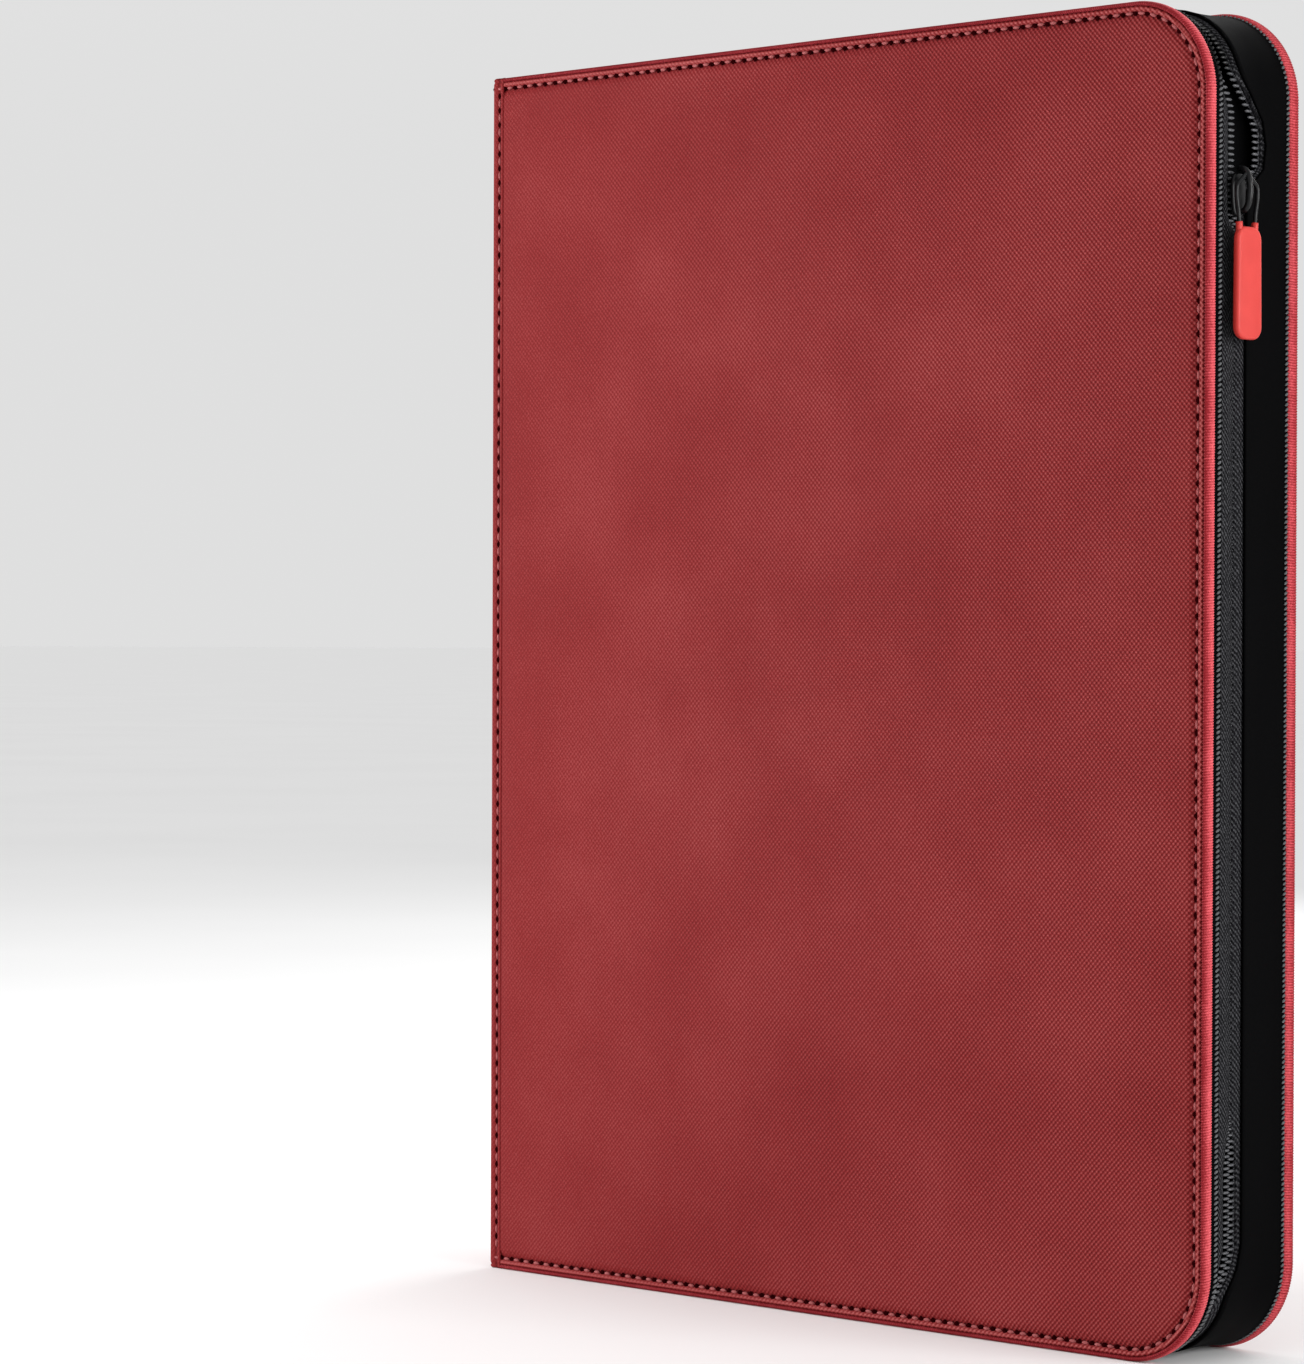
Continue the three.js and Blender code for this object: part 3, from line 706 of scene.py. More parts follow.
def make_lights():
    """A window on the fore edge's side and two fills; places and sizes in metres, powers in watts."""
    area_light("window", (1.5, 0.2, 0.35), 0.8, 22)
    area_light("left_fill", (-0.9, -0.6, 0.25), 0.5, 13)
    area_light("back_fill", (-0.3, 1.6, 0.8), 1.0, 10)


# ---- Covers ----
# Insets of the rings of points that a cover's cloth and its lining are drawn with, closer where they curve.
RELIEF_INSETS = (1.1, 1.25, 1.45, 1.7, 2.0, 2.3, 2.6, 2.85, 3.0, 3.1, 3.25, 3.5, 3.9, 4.4, 4.9, 5.4, 5.9)
LINING_INSETS = (1.35, 1.42, 1.55, 1.75, 2.0, 3.0, 6.0)


def cover_relief(inset, x):
    """Depth of the cover's cloth: a padded ridge inside the bead, then the stitches' valley."""
    across = np.clip((inset - BEAD_WIDTH + 0.15) / (RIDGE_END - BEAD_WIDTH + 0.15), 0, 1)
    ridge = 0.74 - 0.80 * np.sin(math.pi * across) ** 0.8
    slope = 0.12 + 0.62 * (1 - smooth((inset - RIDGE_END) / 2.7))
    rim_relief = ridge if inset < RIDGE_END else slope
    return np.maximum(rim_relief, 0.12 + 0.30 * hump(x, SEAM_X, 0.8))


def cover_painted_light(inset, x):
    """Painted shade down in the cloth's seams and a painted highlight along the ridge between them."""
    seam_shade = 0.30 * hump(inset, 1.1, 0.35) + 0.22 * hump(inset, 3.4, 0.55) + 0.20 * hump(x, SEAM_X, 0.5)
    return 0.30 * hump(inset, 2.0, 0.35) - seam_shade


def cover_panel(name, side, insets, depth_at, material, inside=False):
    """A sheet over one cover, as rings drawn in from its outline and a flat middle."""
    near_spine = np.array([0, 0.3, 0.6, 0.9, 1.2, 1.5, 1.9, 2.3, 2.8, 3.5, 5.0, 8.0, 15.0])
    top = WIDTH - CORNER - COVER_START
    straight = np.concatenate([near_spine, np.linspace(25, top, 12)])
    turn = np.linspace(top, top + ARC, 29)[1:]
    fore = np.linspace(top + ARC, top + ARC + FORE, 16)[1:]
    straight_low = rim_length(COVER_START) - straight[::-1][1:]
    s = np.concatenate([straight, turn, fore, turn + ARC + FORE, straight_low])
    rows, painted_light = [], []
    for inset in insets:
        flat = at_rim(s, COVER_START, inset, 0)
        flat[:, 1] = depth(side, depth_at(inset, flat[:, 0]))
        rows.append(flat)
        painted_light.append(cover_painted_light(inset, flat[:, 0]))
    count = len(s)
    faces = grid_faces(len(insets), count)
    base = (len(insets) - 1) * count
    columns = len(straight)
    for i in range(columns - 1):
        faces.append([base + i, base + i + 1, base + count - 2 - i, base + count - 1 - i])
    faces.append([base + i for i in range(columns - 1, count - columns + 1)])
    way = -1 if (side == "front") != inside else 1
    made = piece(name, np.concatenate(rows), faces, material, (0, way, 0))
    # Painted shade and highlight, kept with the points for the cloth's material to read.
    set_values(made, "painted_light", np.concatenate(painted_light))
    return made


def set_values(obj, name, values):
    """Keeps one number with each of a mesh's points, for its material to read."""
    obj.data.attributes.new(name, "FLOAT", "POINT").data.foreach_set("value", np.asarray(values, float))


def cover_cloth(side):
    """The cover's woven face."""
    made = cover_panel(f"{side}_cover_cloth", side, RELIEF_INSETS, cover_relief, "face")
    solidify(made, 0.4)
    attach(made, f"{side}_cover")
    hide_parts(f"{side}_skin")


def lining_depth(inset, x):
    """Depth of the black lining: rounded over at its edges, and slightly uneven over the glue."""
    fall = 0.5 * np.exp(-(inset - LINING_INSETS[0]) / 0.16)
    end = 0.5 * np.exp(-np.clip(x - COVER_START, 0, None) / 0.16)
    ripple = 0.02 * np.sin(x / 11.0) * math.sin(inset)
    return COVER - 0.03 - np.maximum(fall, end) + ripple


def cover_lining(side):
    """The black cloth inside a cover."""
    made = cover_panel(f"{side}_lining_cloth", side, LINING_INSETS, lining_depth, "lining", inside=True)
    solidify(made, 0.4)
    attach(made, f"{side}_cover")
    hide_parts(f"{side}_lining")


BEAD_POINTS = 14  # round the rolled edge's section
RIB_HEIGHT = 0.1
RIB_SLANT = 0.45  # how far the ribs turn from one point of the section to the next, in radians


def bead_section(side, phase):
    """The rolled edge's section, a soft oval a little deeper than the cover, with slanting ribs round it."""
    half_inset, half_depth = BEAD_WIDTH / 2, BEAD_DEPTH / 2
    points = []
    for k in range(BEAD_POINTS):
        a = 2 * math.pi * (k + 0.5) / BEAD_POINTS
        c, n = math.cos(a), math.sin(a)
        swell = RIB_HEIGHT * np.cos(phase + RIB_SLANT * k)
        inset = half_inset - np.sign(c) * abs(c) ** 0.95 * (half_inset - 0.02 + swell)
        y = half_depth - 0.08 + np.sign(n) * abs(n) ** 0.9 * (half_depth + swell)
        points.append((inset + 0.06, depth(side, y)))
    return points


def rolled_edge(side):
    """The ribbed cloth roll on the cover's three free edges, with painted shade where it turns to face
    forward and in its ribs' troughs, and painted highlights on the ribs' crests.
    """
    length = rim_length(COVER_START)
    count = 4 * int(length / RIB_PITCH)
    s = np.linspace(0, length, count + 1)
    phase = math.pi / 2 * np.arange(count + 1)
    made = strip(f"{side}_rolled_edge", s, COVER_START, bead_section(side, phase), "bead")
    point = np.arange(BEAD_POINTS)
    # Painted shade in the ribs' troughs and painted highlight on their crests.
    ribs = 0.22 * np.cos(phase[:, None] + RIB_SLANT * point)
    # Painted shade over the half of the roll that turns to face forward.
    turned = 0.5 * smooth((1 + np.sin(2 * math.pi * (point + 0.5) / BEAD_POINTS)) / 1.3) - 0.5
    # The back cover's roll is painted darker all over.
    turned -= 0.18 if side == "back" else 0.0
    set_values(made, "painted_light", (ribs + turned).ravel())
    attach(made, f"{side}_cover")
    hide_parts(f"{side}_binding")


STITCH_DEPTH = 0.5  # below the cover's outer face


def stitch_run(side, name, places, along):
    """Threads, and near-black grains of painted shade for the needle holes between them, at places along a
    stitched line.
    """
    normal = np.tile((0.0, -1.0 if side == "front" else 1.0, 0.0), (len(places), 1))
    across = np.cross(along, normal)
    threads = grains(f"{side}_{name}_stitches", places + normal * 0.16, along, across, normal,
                     (STITCH_PITCH * 0.56, 0.95, 0.6), "thread")
    between = places + along * STITCH_PITCH / 2 + normal * 0.14
    holes = grains(f"{side}_{name}_hole_shade_dots", between, along, across, normal,
                   (STITCH_PITCH * 0.42, 1.6, 0.5), "hole", rings=4)
    return threads, holes


def cover_stitches(side):
    """The stitched line round the cover's three free edges, and the one beside the spine."""
    length = rim_length(COVER_START)
    inner = SEAM_X - COVER_START
    count = int((length - 2 * inner) / STITCH_PITCH)
    s = np.linspace(inner, length - inner, count + 1)
    along, _, _ = rim_axes(s, COVER_START)
    places = at_rim(s, COVER_START, SEAM_INSET, depth(side, STITCH_DEPTH))
    for made in stitch_run(side, "edge", places, along):
        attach(made, f"{side}_cover")
    count = int((HEIGHT - 2 * SEAM_INSET) / STITCH_PITCH)
    z = np.linspace(SEAM_INSET, HEIGHT - SEAM_INSET, count + 1)[1:-1]
    places = np.stack([SEAM_X + 0 * z, depth(side, STITCH_DEPTH - 0.12) + 0 * z, z], -1)
    for made in stitch_run(side, "spine", places, np.tile((0.0, 0.0, 1.0), (len(z), 1))):
        bend_at_hinge(made)


# ---- Spine ----
TURN_IN_X = np.array([3.2, 3.05, 2.5, 1.4])  # the curve of the cloth turned in over the board's end
TURN_IN_Z = np.array([0.6, 0.22, 0.06, 0.0])


def spine_cloth():
    """The spine's woven face, turned over its board's top and bottom."""
    start = HINGE + 0.15
    side_y = start + np.array([0, 0.5, 1.0, 1.5])
    y = np.concatenate([side_y, np.linspace(8, THICK - 8, 9), THICK - side_y[::-1]])
    edge = np.array([0.0, 0.35, 0.9, 1.4, 1.8, 2.0, 2.4, 3.0, 3.4, 3.8, 5.0])
    z = np.concatenate([edge, np.linspace(12, HEIGHT - 12, 12), HEIGHT - edge[::-1]])
    end = np.minimum(z, HEIGHT - z)
    sink = 0.02 + end_roll(end, 0.75) + 0.35 * hump(end, BEAD_WIDTH, 0.25) + 0.2 * hump(end, SEAM_INSET, 0.4)
    x = np.concatenate([TURN_IN_X, sink, TURN_IN_X[::-1]])
    z = np.concatenate([TURN_IN_Z, z, HEIGHT - TURN_IN_Z[::-1]])
    points = np.array([(row_x, across, row_z) for row_x, row_z in zip(x, z) for across in y])
    made = piece("spine_cloth", points, grid_faces(len(z), len(y)), "spine", (-1, 0, 0))
    solidify(made, 0.7)
    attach(made, "spine")
    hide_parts("spine_skin")


def bend_at_hinge(obj):
    """Bakes the placement of a piece at the spine's corner, between the spine and that cover, into its mesh.
    """
    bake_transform(obj)


def hinge_cloth(side):
    """The strip that folds round the spine's corner and is stitched down."""
    edge = np.array([0.0, 0.3, 0.7, 1.2, 1.6, 1.9, 2.3, 2.9, 3.4, 3.9, 5.0])
    z = np.concatenate([edge, np.linspace(12, HEIGHT - 12, 24), HEIGHT - edge[::-1]])
    angle = np.radians(np.linspace(180, 270, 9))
    seam_x = SEAM_X + np.array([-0.9, -0.5, -0.2, 0.2, 0.5, 0.9])
    seam = list(zip(seam_x, 0.3 * hump(seam_x, SEAM_X, 0.6)))
    rows, painted_light = [], []
    for level in z:
        end = min(level, HEIGHT - level)
        sink = 0.02 + end_roll(end, 0.7) + 0.3 * hump(end, BEAD_WIDTH, 0.25)
        radius = HINGE_ROUND - sink
        fold = [(HINGE_ROUND + radius * math.cos(a), HINGE_ROUND + radius * math.sin(a)) for a in angle]
        line = [(sink, HINGE + 0.5), (sink, 3.0), (sink, 1.8)] + fold
        line += [(x, sink + dip) for x, dip in seam] + [(HINGE + 0.45, sink + 0.06)]
        rows += [(x, depth(side, y), level) for x, y in line]
        # Painted shade along the stitched seam beside the spine.
        painted_light += [-0.22 * hump(x, SEAM_X, 0.5) if y < HINGE_ROUND else 0.0 for x, y in line]
    way = (-1, -1 if side == "front" else 1, 0)
    made = piece(f"{side}_hinge_roll", rows, grid_faces(len(z), len(line)), "face", way)
    set_values(made, "painted_light", painted_light)
    solidify(made, 0.45)
    bend_at_hinge(made)
    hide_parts(f"{side}_hinge_cloth")


# ---- Gusset and zipper ----
STRAIGHT_TOP = WIDTH - CORNER - GUSSET_START
LOW_CORNER = STRAIGHT_TOP + ARC + FORE  # distance round the outline to where the bottom corner begins
ZIP_END = rim_length(GUSSET_START)
SLIDER_LOW, SLIDER_HIGH = in_mm("slider_body")
SLIDER_HALF = 5.4  # half the slider's length
SLIDER_Z = SLIDER_LOW[2] + SLIDER_HALF
SLIDER_S = STRAIGHT_TOP + ARC + (HEIGHT - CORNER - SLIDER_Z)
CROWN = 4.0  # height of the slider's bridge
ZIP_Y = (SLIDER_LOW[1] + SLIDER_HIGH[1]) / 2
TOOTH_PITCH = 1.5
SEAM_THREAD_PITCH = 1.28
STRIP_END = COVER + 3.5  # where the front strip of gusset ends
TAPE_LAP = 1.6  # tape hidden under the gusset
BACK_TAPE_SHOWN = 3.0
COIL_GAP = 0.5
FRONT_SAG = 5.4  # how far the open front half hangs forward, round the top corner
BACK_SWING = 8.0  # how far the open back half swings back, just above the slider
LOW_SAG = 5.2  # how far the closed zipper hangs forward, round the bottom corner


def low_sag(s):
    """How far the zipper sags forward, at distances s: all of it round the bottom corner, then ever less."""
    return LOW_SAG * smooth((s - LOW_CORNER + 5) / 13) * (1 - smooth((s - LOW_CORNER - ARC - 20) / 60))


def front_line(s):
    """y of the front half's edge: closed below the slider, sagging forward round the corners."""
    return ZIP_Y - FRONT_SAG * smooth((SLIDER_S - s - 20) / 13) - low_sag(s)


def back_line(s):
    """y of the back half's edge, which swings away above the slider and then sags forward too."""
    above = SLIDER_S - s
    sag = (BACK_SWING + 2) * smooth((above - 15) / 18)
    return ZIP_Y + BACK_SWING * smooth(above / 9) - sag - low_sag(s)


def bared(s):
    """How far the tapes' edges stand back from the teeth, above the slider and at the bottom corner."""
    above = smooth((SLIDER_S - s + 9) / 4)
    below = smooth((s - LOW_CORNER + 38) / 14) * (1 - smooth((s - LOW_CORNER - 3) / 9))
    return 2.5 * np.maximum(above, below)


def strip_end(s):
    """y of the front strip's free edge, which keeps clear of the teeth."""
    return np.minimum(STRIP_END, front_line(s) - 2.2)


def cloth_waves(s, amount, seed):
    """A gentle fixed ripple along the gusset."""
    value = 0
    for k, length in enumerate((190.0, 83.0, 37.0)):
        value = value + np.sin(2 * math.pi * s / length + seed + 1.7 * k) / (k + 1)
    return amount * value


def gusset(side):
    """The soft cloth between a cover and its zipper tape: a narrow strip in front, a wide one behind."""
    s = rim_steps(GUSSET_START, 6, 14)
    if side == "front":
        low, high, steps, hollow = COVER + 0.1, strip_end(s), 5, 0.05
    else:
        low, high, steps, hollow = back_line(s) + COIL_GAP + BACK_TAPE_SHOWN, THICK - COVER - 0.1, 13, 0.28
    outer, inner = [], []
    for f in np.linspace(0, 1, steps):
        y = low + (high - low) * f
        inset = 0.85 + (hollow + cloth_waves(s, 0.10, 4 * f)) * math.sin(math.pi * f)
        outer.append((inset, y))
        inner.append((inset + 0.6, y))
    made = strip(f"{side}_gusset_cloth", s, GUSSET_START, outer + inner[::-1], "gusset")
    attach(made, f"{side}_cover")
    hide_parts(f"{side}_gusset")


def paint_shade_above(obj, height):
    """Painted shade: darkens a piece above a height, over 8 mm."""
    z = np.array([v.co.z for v in obj.data.vertices]) / MM
    set_values(obj, "painted_light", -0.6 * smooth((z - height) / 8))


def seam_threads(side):
    """The close grey stitches that sew the gusset to the cover."""
    s = np.linspace(0.5, ZIP_END - 0.5, int(ZIP_END / SEAM_THREAD_PITCH))
    along, out, through = rim_axes(s, GUSSET_START)
    y = depth(side, COVER + (2.4 if side == "front" else 0.5))
    slant = along * 0.42 + through * 0.91
    across = along * 0.91 - through * 0.42
    made = grains(f"{side}_seam_threads", at_rim(s, GUSSET_START, 0.75, y), slant, across, out,
                  (1.75, 0.8, 0.5), "grey_thread")
    # Painted shade on the front seam threads near the top.
    if side == "front":
        paint_shade_above(made, HEIGHT - 25)
    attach(made, f"{side}_cover")


def zipper_half(side):
    """One side of the zipper: its tape, its row of teeth and the cord that they are sewn over."""
    s = np.unique(np.concatenate([rim_steps(GUSSET_START, 5, 20), SLIDER_S + np.arange(-34, 14, 1.5)]))
    way = 1 if side == "front" else -1
    line = front_line if side == "front" else back_line
    edge = line(s) - way * (0.06 + bared(s))
    root = strip_end(s) - TAPE_LAP if side == "front" else line(s) + COIL_GAP + BACK_TAPE_SHOWN + TAPE_LAP
    outer, inner = [], []
    for f in np.linspace(0, 1, 7):
        y = root + (edge - root) * f
        dip = 0.14 * math.cos(math.pi * f) ** 2 + 0.35 * smooth((f - 0.7) / 0.3)
        inset = TAPE_INSET - 0.02 + dip
        outer.append((inset, y))
        inner.append((inset + 0.5, y))
    tape = strip(f"{side}_zipper_tape", s, GUSSET_START, outer + inner[::-1], "tape")
    count = int(ZIP_END / TOOTH_PITCH)
    t = (np.arange(count) + (0.25 if side == "front" else 0.75)) * TOOTH_PITCH
    along, out, through = rim_axes(t, GUSSET_START)
    centre = at_rim(t, GUSSET_START, 2.55, line(t) - way * 0.95)
    teeth = grains(f"{side}_zipper_teeth", centre, through, along, out, (2.9, 0.8, 1.0), "coil",
                   rings=6, sides=7)
    # Painted shade on the teeth near the top.
    paint_shade_above(teeth, HEIGHT - 22)
    cord_line = at_rim(s, GUSSET_START, 2.75, line(s) - way * 2.35)
    cord = tube(f"{side}_coil_cord", cord_line, 0.35, "tape", sides=6)
    for made, node in ((tape, "tape"), (teeth, "coil"), (cord, None)):
        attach(made, f"{side}_cover")
        if node:
            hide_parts(f"{side}_{node}")


def dust_flap():
    """A thin cloth flap behind the zipper that keeps dust and light off the pages."""
    s = rim_steps(GUSSET_START, 12, 12)
    section = [(5.7, COVER + 1.6), (5.7, THICK - COVER - 0.3), (6.1, THICK - COVER - 0.3), (6.1, COVER + 1.6)]
    made = strip("zipper_flap", s, GUSSET_START, section, "gusset")
    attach(made, "back_cover")


# ---- Slider and puller ----
def slider():
    """Die-cast slider: a shield-shaped top plate, a plate inside the tape, and a raised bridge."""
    outer_x = SLIDER_HIGH[0] - CROWN
    inner_x = SLIDER_LOW[0]
    half = (SLIDER_HIGH[1] - SLIDER_LOW[1]) / 2
    shield = []
    for k in range(40):
        a = 2 * math.pi * k / 40
        z = SLIDER_HALF * np.sign(math.sin(a)) * abs(math.sin(a)) ** 0.7
        waist = 0.90 - 0.16 * (1 - z / SLIDER_HALF) / 2
        shield.append((half * waist * np.sign(math.cos(a)) * abs(math.cos(a)) ** 0.6, z))
    shield = np.array(shield)
    place = np.array([ZIP_Y, SLIDER_Z])
    top = extruded("slider_top", shield + place, outer_x - 1.05, outer_x, 0, "enamel", 0.42)
    inner = extruded("slider_inner", shield * 0.98 + place, inner_x, inner_x + 1.0, 0, "enamel", 0.3)
    post = extruded("slider_post", round_box(0.3, 1.4, 0.2) + place + (0, 3.5), inner_x + 0.5,
                    outer_x - 0.5, 0, "enamel")
    bridge_path = []
    for k in range(25):
        a = math.pi * k / 24
        rise = (CROWN - 0.4) * math.sin(a) ** 0.62
        bridge_path.append((outer_x - 0.4 + rise, ZIP_Y, SLIDER_Z + 1.2 + SLIDER_HALF * math.cos(a)))
    bridge = tube("slider_bridge", bridge_path, 0.8, "enamel", sides=12)
    made = joined("zipper_slider", top, inner, post, bridge)
    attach(made, "slider")
    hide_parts("slider_body")


def puller():
    """The bent wire loop through the bridge, and the moulded tab that hangs on it."""
    low, high = in_mm("puller_tab")
    link_low, link_high = in_mm("puller_link")
    pull_x = (link_low[0] + link_high[0]) / 2
    pull_z = link_high[2] - 0.55
    middle = (low[1] + high[1]) / 2
    sides = [(0.0, 1.5), (4.1, -1.9), (4.2, -4.5), (3.3, -9.0), (3.1, -12.4)]
    right = [(middle + y, pull_z + z) for y, z in sides]
    left = [(2 * middle - y, z) for y, z in right]
    loop = left[:0:-1] + right
    loop += [(middle + 1.6, pull_z - 13.6), (middle - 1.6, pull_z - 13.6)]
    path = round_corners(loop, 0.7)
    wire = tube("puller_loop", [(pull_x, y, z) for y, z in path], 0.55, "enamel", closed=True)
    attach(wire, "puller")
    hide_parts("puller_link")

    outline = tab_outline((high[1] - low[1]) / 2, (high[2] - low[2]) / 2)
    centre = np.array([middle, (low[2] + high[2]) / 2])
    body = extruded("tab_body", outline + centre, low[0] + 0.1, high[0] - 0.05, 0, "rubber", 0.85, 5)
    ears = []
    for way in (-1, 1):
        ear = [(pull_x, middle + way * out, high[2] + up)
               for out, up in ((3.1, -2.0), (3.1, -0.2), (3.15, 0.6), (3.2, 1.1))]
        ears.append(tube(f"ear_{way}", ear, 0.88, "rubber", sides=12))
    tab = joined("pull_tab", body, *ears)
    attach(tab, "puller")
    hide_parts("puller_tab")


def tab_outline(half, half_length):
    """A long tab with soft round ends, a little narrower at its top."""
    points = round_box(half, half_length, 3.3, 9)
    taper = 1 - 0.06 * (points[:, 1] + half_length) / (2 * half_length)
    points[:, 0] *= taper
    return points


def round_corners(points, radius, steps=5):
    """A closed outline with each corner cut by a small curve."""
    points = [np.array(p, float) for p in points]
    rounded = []
    for i, corner in enumerate(points):
        before, after = points[i - 1], points[(i + 1) % len(points)]
        a = corner + (before - corner) * min(0.45, radius / np.linalg.norm(before - corner))
        b = corner + (after - corner) * min(0.45, radius / np.linalg.norm(after - corner))
        for k in range(steps + 1):
            t = k / steps
            rounded.append((1 - t) ** 2 * a + 2 * t * (1 - t) * corner + t * t * b)
    return rounded


# ---- Inside ----
RING_X = 18.5  # the rings' centre line
RING_RADIUS = 12.0
WIRE = 2.4  # its thickness
RING_PITCH = 108.0
RING_HEIGHTS = {"top": MID_Z + RING_PITCH, "middle": MID_Z, "bottom": MID_Z - RING_PITCH}


def ring_half(side, place):
    """Half of a ring: a round wire that bends down through the rail to its hinge plate."""
    way = -1 if side == "front" else 1
    z = RING_HEIGHTS[place]
    angle = np.radians(np.linspace(0.75, 130, 44))
    path = [(RING_X + RING_RADIUS * math.cos(a), MID_Y + way * RING_RADIUS * math.sin(a), z) for a in angle]
    path += [(8.2, MID_Y + way * 6.6, z), (6.5, MID_Y + way * 5.2, z)]
    made = tube(f"{side}_{place}_ring_half", path, WIRE / 2, "nickel", sides=20)
    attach(made, f"{side}_rings")
    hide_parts(f"{side}_ring_{place}")


def rivet(place):
    """A rivet with a smooth domed head on the spine's outside."""
    low, high = in_mm(f"rivet_{place}")
    middle = (low + high) / 2
    head = (high[1] - low[1]) / 2
    dome = [(low[0] + 1.0 * (1 - math.cos(a)), head * math.sin(a)) for a in np.radians(np.linspace(0, 90, 9))]
    profile = dome + [(low[0] + 1.02, 1.7), (high[0] - 0.8, 1.7), (high[0] - 0.75, 3.0), (high[0] - 0.3, 2.9),
                      (high[0], 1.2), (high[0], 0.0)]
    turns = 2 * math.pi * np.arange(40) / 40
    points = [(x, middle[1] + radius * math.cos(a), middle[2] + radius * math.sin(a))
              for x, radius in profile for a in turns]
    made = piece(f"{place}_rivet", points, grid_faces(len(profile), len(turns), wrap=True), "nickel")
    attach(made, "spine")
    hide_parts(f"rivet_{place}")


def spine_lining():
    """The black cloth inside the spine, under the ring mechanism."""
    low, high = in_mm("spine_lining")
    middle, half = (low + high) / 2, (high - low) / 2
    outline = round_box(half[1], half[2], 0.6, 3) + middle[1:]
    made = extruded("spine_lining_cloth", outline, low[0], high[0] - 0.02, 0, "lining", 0.25)
    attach(made, "spine")
    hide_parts("spine_lining")


def end_tab(place):
    """The folded cloth at the zipper's end by the spine: one leg on the spine, one under the gusset."""
    low, high = in_mm(f"end_tab_{place}")
    way = 1 if place == "top" else -1
    outer_z = high[2] if place == "top" else low[2]
    fold, thick = 3.0, 1.3
    reach, drop = high[0] - 0.2, high[2] - low[2] - 0.3
    angle = np.radians(np.linspace(180, 90, 8))
    outer, inner = ([(low[0] + fold + radius * math.cos(a), fold - radius * math.sin(a)) for a in angle]
                    for radius in (fold, fold - thick))
    leg = [(low[0], drop), *outer, (reach, 0.0), (reach, thick), *inner[::-1], (low[0] + thick, drop)]
    outline = [(x, outer_z - way * down) for x, down in leg]
    made = extruded(f"{place}_end_tab", outline, low[1] + 0.3, high[1] - 0.3, 1, "gusset", 0.4)
    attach(made, "spine")
    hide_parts(f"end_tab_{place}")


def trigger_cap(place):
    """The moulded thumb pad over a trigger's upright."""
    low, high = in_mm(f"trigger_cap_{place}")
    middle, half = (low + high) / 2, (high - low) / 2
    outline = round_box(half[0], half[1], 3.0, 8) + middle[:2]
    made = extruded(f"{place}_trigger_cap", outline, low[2], high[2], 2, "cap", 0.7, 4)
    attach(made, f"{place}_trigger")
    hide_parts(f"trigger_cap_{place}")


# ---- Pages ----
BOUND_MARGIN = 20.0  # the punched strip's width
POCKET = (67.5, 93.0)
POCKETS = 3  # across and down
END_MARGIN = 3.5
HOLE_IN = 7.0
HOLE_RADIUS = 4.0
CARD = (63.0, 88.0, 0.3)
WELD = 1.2  # width of the pressed lines between pockets
EDGES_ACROSS = BOUND_MARGIN + POCKET[0] * np.arange(POCKETS + 1)
EDGES_UP = END_MARGIN + POCKET[1] * np.arange(POCKETS + 1)


def pocket_steps(edges, end):
    """Places across the pockets, closer together at the welds, and the outer margin."""
    steps = []
    for start, stop in zip(edges[:-1], edges[1:]):
        steps += [start, start + 0.6, start + 1.2, start + 2.0, start + 3.5, (start + stop) / 2]
        steps += [stop - 3.5, stop - 2.0, stop - 1.2, stop - 0.6]
    return np.array([*steps, edges[-1], edges[-1] + 0.6, end - 0.3, end])


def to_weld(value, edges):
    """Distance from each place to the nearest weld."""
    return np.min(np.abs(np.asarray(value)[:, None] - edges[None, :]), axis=1)


def page_film(width, height, thick):
    """One page's film beside its punched binding strip: pockets that swell a little between their welds."""
    across = pocket_steps(EDGES_ACROSS, width)
    up = np.concatenate([[0, 0.3, END_MARGIN - 0.6], pocket_steps(EDGES_UP, height)])
    gap = np.minimum(to_weld(across, EDGES_ACROSS)[None, :], to_weld(up, EDGES_UP)[:, None])
    half = thick * (0.30 + 0.20 * smooth(gap / 3.0))
    u, v = np.meshgrid(across, up)
    count = u.size
    faces = grid_faces(*u.shape)
    faces += [[i + count for i in f] for f in faces]
    columns = len(across)
    loop = [*range(columns), *range(2 * columns - 1, count, columns),
            *range(count - 2, count - columns - 1, -1), *range(count - 2 * columns, 0, -columns)]
    faces += [[a, b, b + count, a + count] for a, b in zip(loop, loop[1:] + loop[:1])]
    points = [np.stack([u, way * half, v], -1).reshape(-1, 3) for way in (-1, 1)]
    return np.concatenate(points), faces


def binding_strip(height, thick):
    """The page's punched edge, as points and faces."""
    bm = bmesh.new()
    loops = [[(0, 0), (BOUND_MARGIN, 0), (BOUND_MARGIN, height), (0, height)]]
    for z in (height / 2 - RING_PITCH, height / 2, height / 2 + RING_PITCH):
        turns = np.linspace(0, 2 * math.pi, 33)[:-1]
        loops.append([(HOLE_IN + HOLE_RADIUS * math.cos(a), z + HOLE_RADIUS * math.sin(a)) for a in turns])
    for loop in loops:
        corners = [bm.verts.new((x, -0.30 * thick, z)) for x, z in loop]
        for a, b in zip(corners, corners[1:] + corners[:1]):
            bm.edges.new((a, b))
    flat = bmesh.ops.triangle_fill(bm, edges=bm.edges[:], use_beauty=True)
    faces = [g for g in flat["geom"] if isinstance(g, bmesh.types.BMFace)]
    made = bmesh.ops.extrude_face_region(bm, geom=faces)
    moved = [g for g in made["geom"] if isinstance(g, bmesh.types.BMVert)]
    bmesh.ops.translate(bm, verts=moved, vec=(0, 0.60 * thick, 0))
    bm.verts.index_update()
    points = np.array([v.co[:] for v in bm.verts])
    faces = [[v.index for v in f.verts] for f in bm.faces]
    bm.free()
    return points, faces


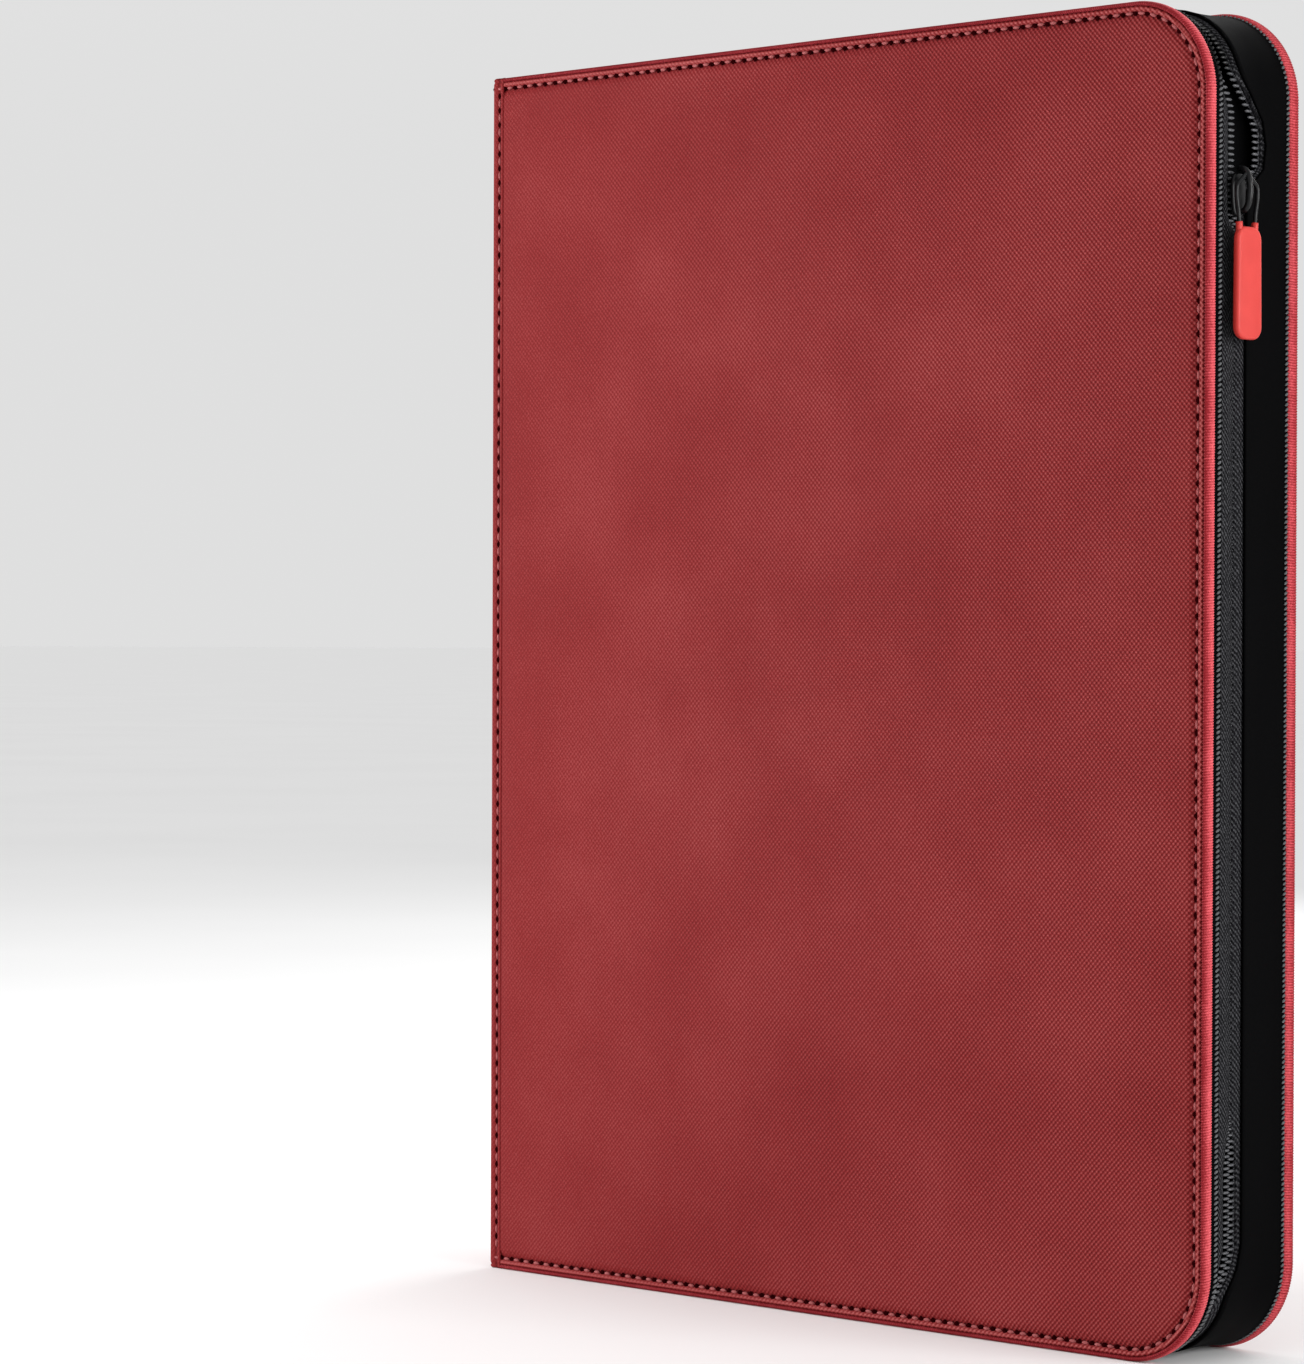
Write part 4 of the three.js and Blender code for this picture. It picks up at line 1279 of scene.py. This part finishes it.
def boxes(corners):
    """Several boxes as points and faces, each from its low and high corner."""
    points, faces = [], []
    order = [(0, 0, 0), (1, 0, 0), (1, 1, 0), (0, 1, 0), (0, 0, 1), (1, 0, 1), (1, 1, 1), (0, 1, 1)]
    walls = [(0, 1, 2, 3), (4, 5, 6, 7), (0, 1, 5, 4), (1, 2, 6, 5), (2, 3, 7, 6), (3, 0, 4, 7)]
    for pair in corners:
        base = len(points)
        points += [[pair[pick[k]][k] for k in range(3)] for pick in order]
        faces += [[base + i for i in wall] for wall in walls]
    return np.array(points), faces


def page_welds(width, height, thick):
    """The pressed ribs between the pockets, just proud of the film on both faces."""
    rise = 0.54 * thick
    ribs = []
    for edge in EDGES_ACROSS:
        ribs.append(((edge - WELD / 2, -rise, 0.4), (min(edge + WELD / 2, width - 0.3), rise, height - 0.4)))
    for edge in EDGES_UP:
        low = (EDGES_ACROSS[0] + 0.6, -rise * 0.98, edge - WELD / 2)
        ribs.append((low, (width - 0.4, rise * 0.98, edge + WELD / 2)))
    return boxes(ribs)


def page_cards(shrink, thick):
    """A card in each pocket, or with shrink its printed panel, as points, faces and each point's card."""
    outline = round_box(CARD[0] / 2 - shrink, CARD[1] / 2 - shrink, 3.0 - shrink / 2, 4)
    count = len(outline)
    points, faces, number = [], [], []
    for row in range(POCKETS):
        for column in range(POCKETS):
            centre = (EDGES_ACROSS[column] + POCKET[0] / 2, EDGES_UP[row] + POCKET[1] / 2)
            base = len(points)
            for way in (-1, 1):
                points += [(centre[0] + x, way * thick / 2, centre[1] + z) for x, z in outline]
            faces.append([base + i for i in range(count)])
            faces.append([base + count + i for i in range(count)])
            faces += [[base + i, base + (i + 1) % count, base + count + (i + 1) % count, base + count + i]
                      for i in range(count)]
            number += [row * POCKETS + column + 1] * (2 * count)
    return np.array(points), faces, np.array(number)


def pages():
    """Every page: its film, welds, cards and their printed panels."""
    low, high = in_mm("front_page_01")
    width, thick, height = high - low
    film_points, film_faces = page_film(width, height, thick)
    strip_points, strip_faces = binding_strip(height, thick)
    film_faces += [[i + len(film_points) for i in f] for f in strip_faces]
    card_points, card_faces, _ = page_cards(0.0, CARD[2])
    panel_points, panel_faces, number = page_cards(3.0, CARD[2] + 0.03)
    kinds = {
        "film": (np.concatenate([film_points, strip_points]), film_faces, "film"),
        "welds": (*page_welds(width, height, thick), "weld"),
        "cards": (card_points, card_faces, "card"),
        "card_art": (panel_points, panel_faces, "art"),
    }
    for index, name in enumerate(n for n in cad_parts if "_page_" in n):
        low, high = in_mm(name)
        corner = np.array([low[0], (low[1] + high[1]) / 2, low[2]])
        film_piece, welds, cards, panels = (
            piece(f"{name}_{kind}", points + corner, faces, material, smooth_faces=False)
            for kind, (points, faces, material) in kinds.items())
        set_values(panels, "card", number + POCKETS * POCKETS * index)
        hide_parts(name)
        for made in (film_piece, welds, cards, panels):
            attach(made, name)


# ---- Carried-over CAD parts ----
def finish_cad_parts():
    """Materials for the CAD parts whose shape is already right."""
    looks = {"board": "board", "ring": "nickel", "trigger": "nickel"}
    for name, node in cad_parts.items():
        key = next((k for k in looks if k in name), None)
        if key:
            node.data.materials.clear()
            node.data.materials.append(MATERIALS[looks[key]])


make_camera()
make_floor()
make_sky()
make_lights()
for side in SIDES:
    cover_cloth(side)
    rolled_edge(side)
    cover_stitches(side)
    hinge_cloth(side)
    gusset(side)
    seam_threads(side)
    zipper_half(side)
    cover_lining(side)
    for place in RING_HEIGHTS:
        ring_half(side, place)
for place in ("top", "bottom"):
    rivet(place)
    end_tab(place)
    trigger_cap(place)
spine_lining()
pages()
spine_cloth()
dust_flap()
slider()
puller()
finish_cad_parts()
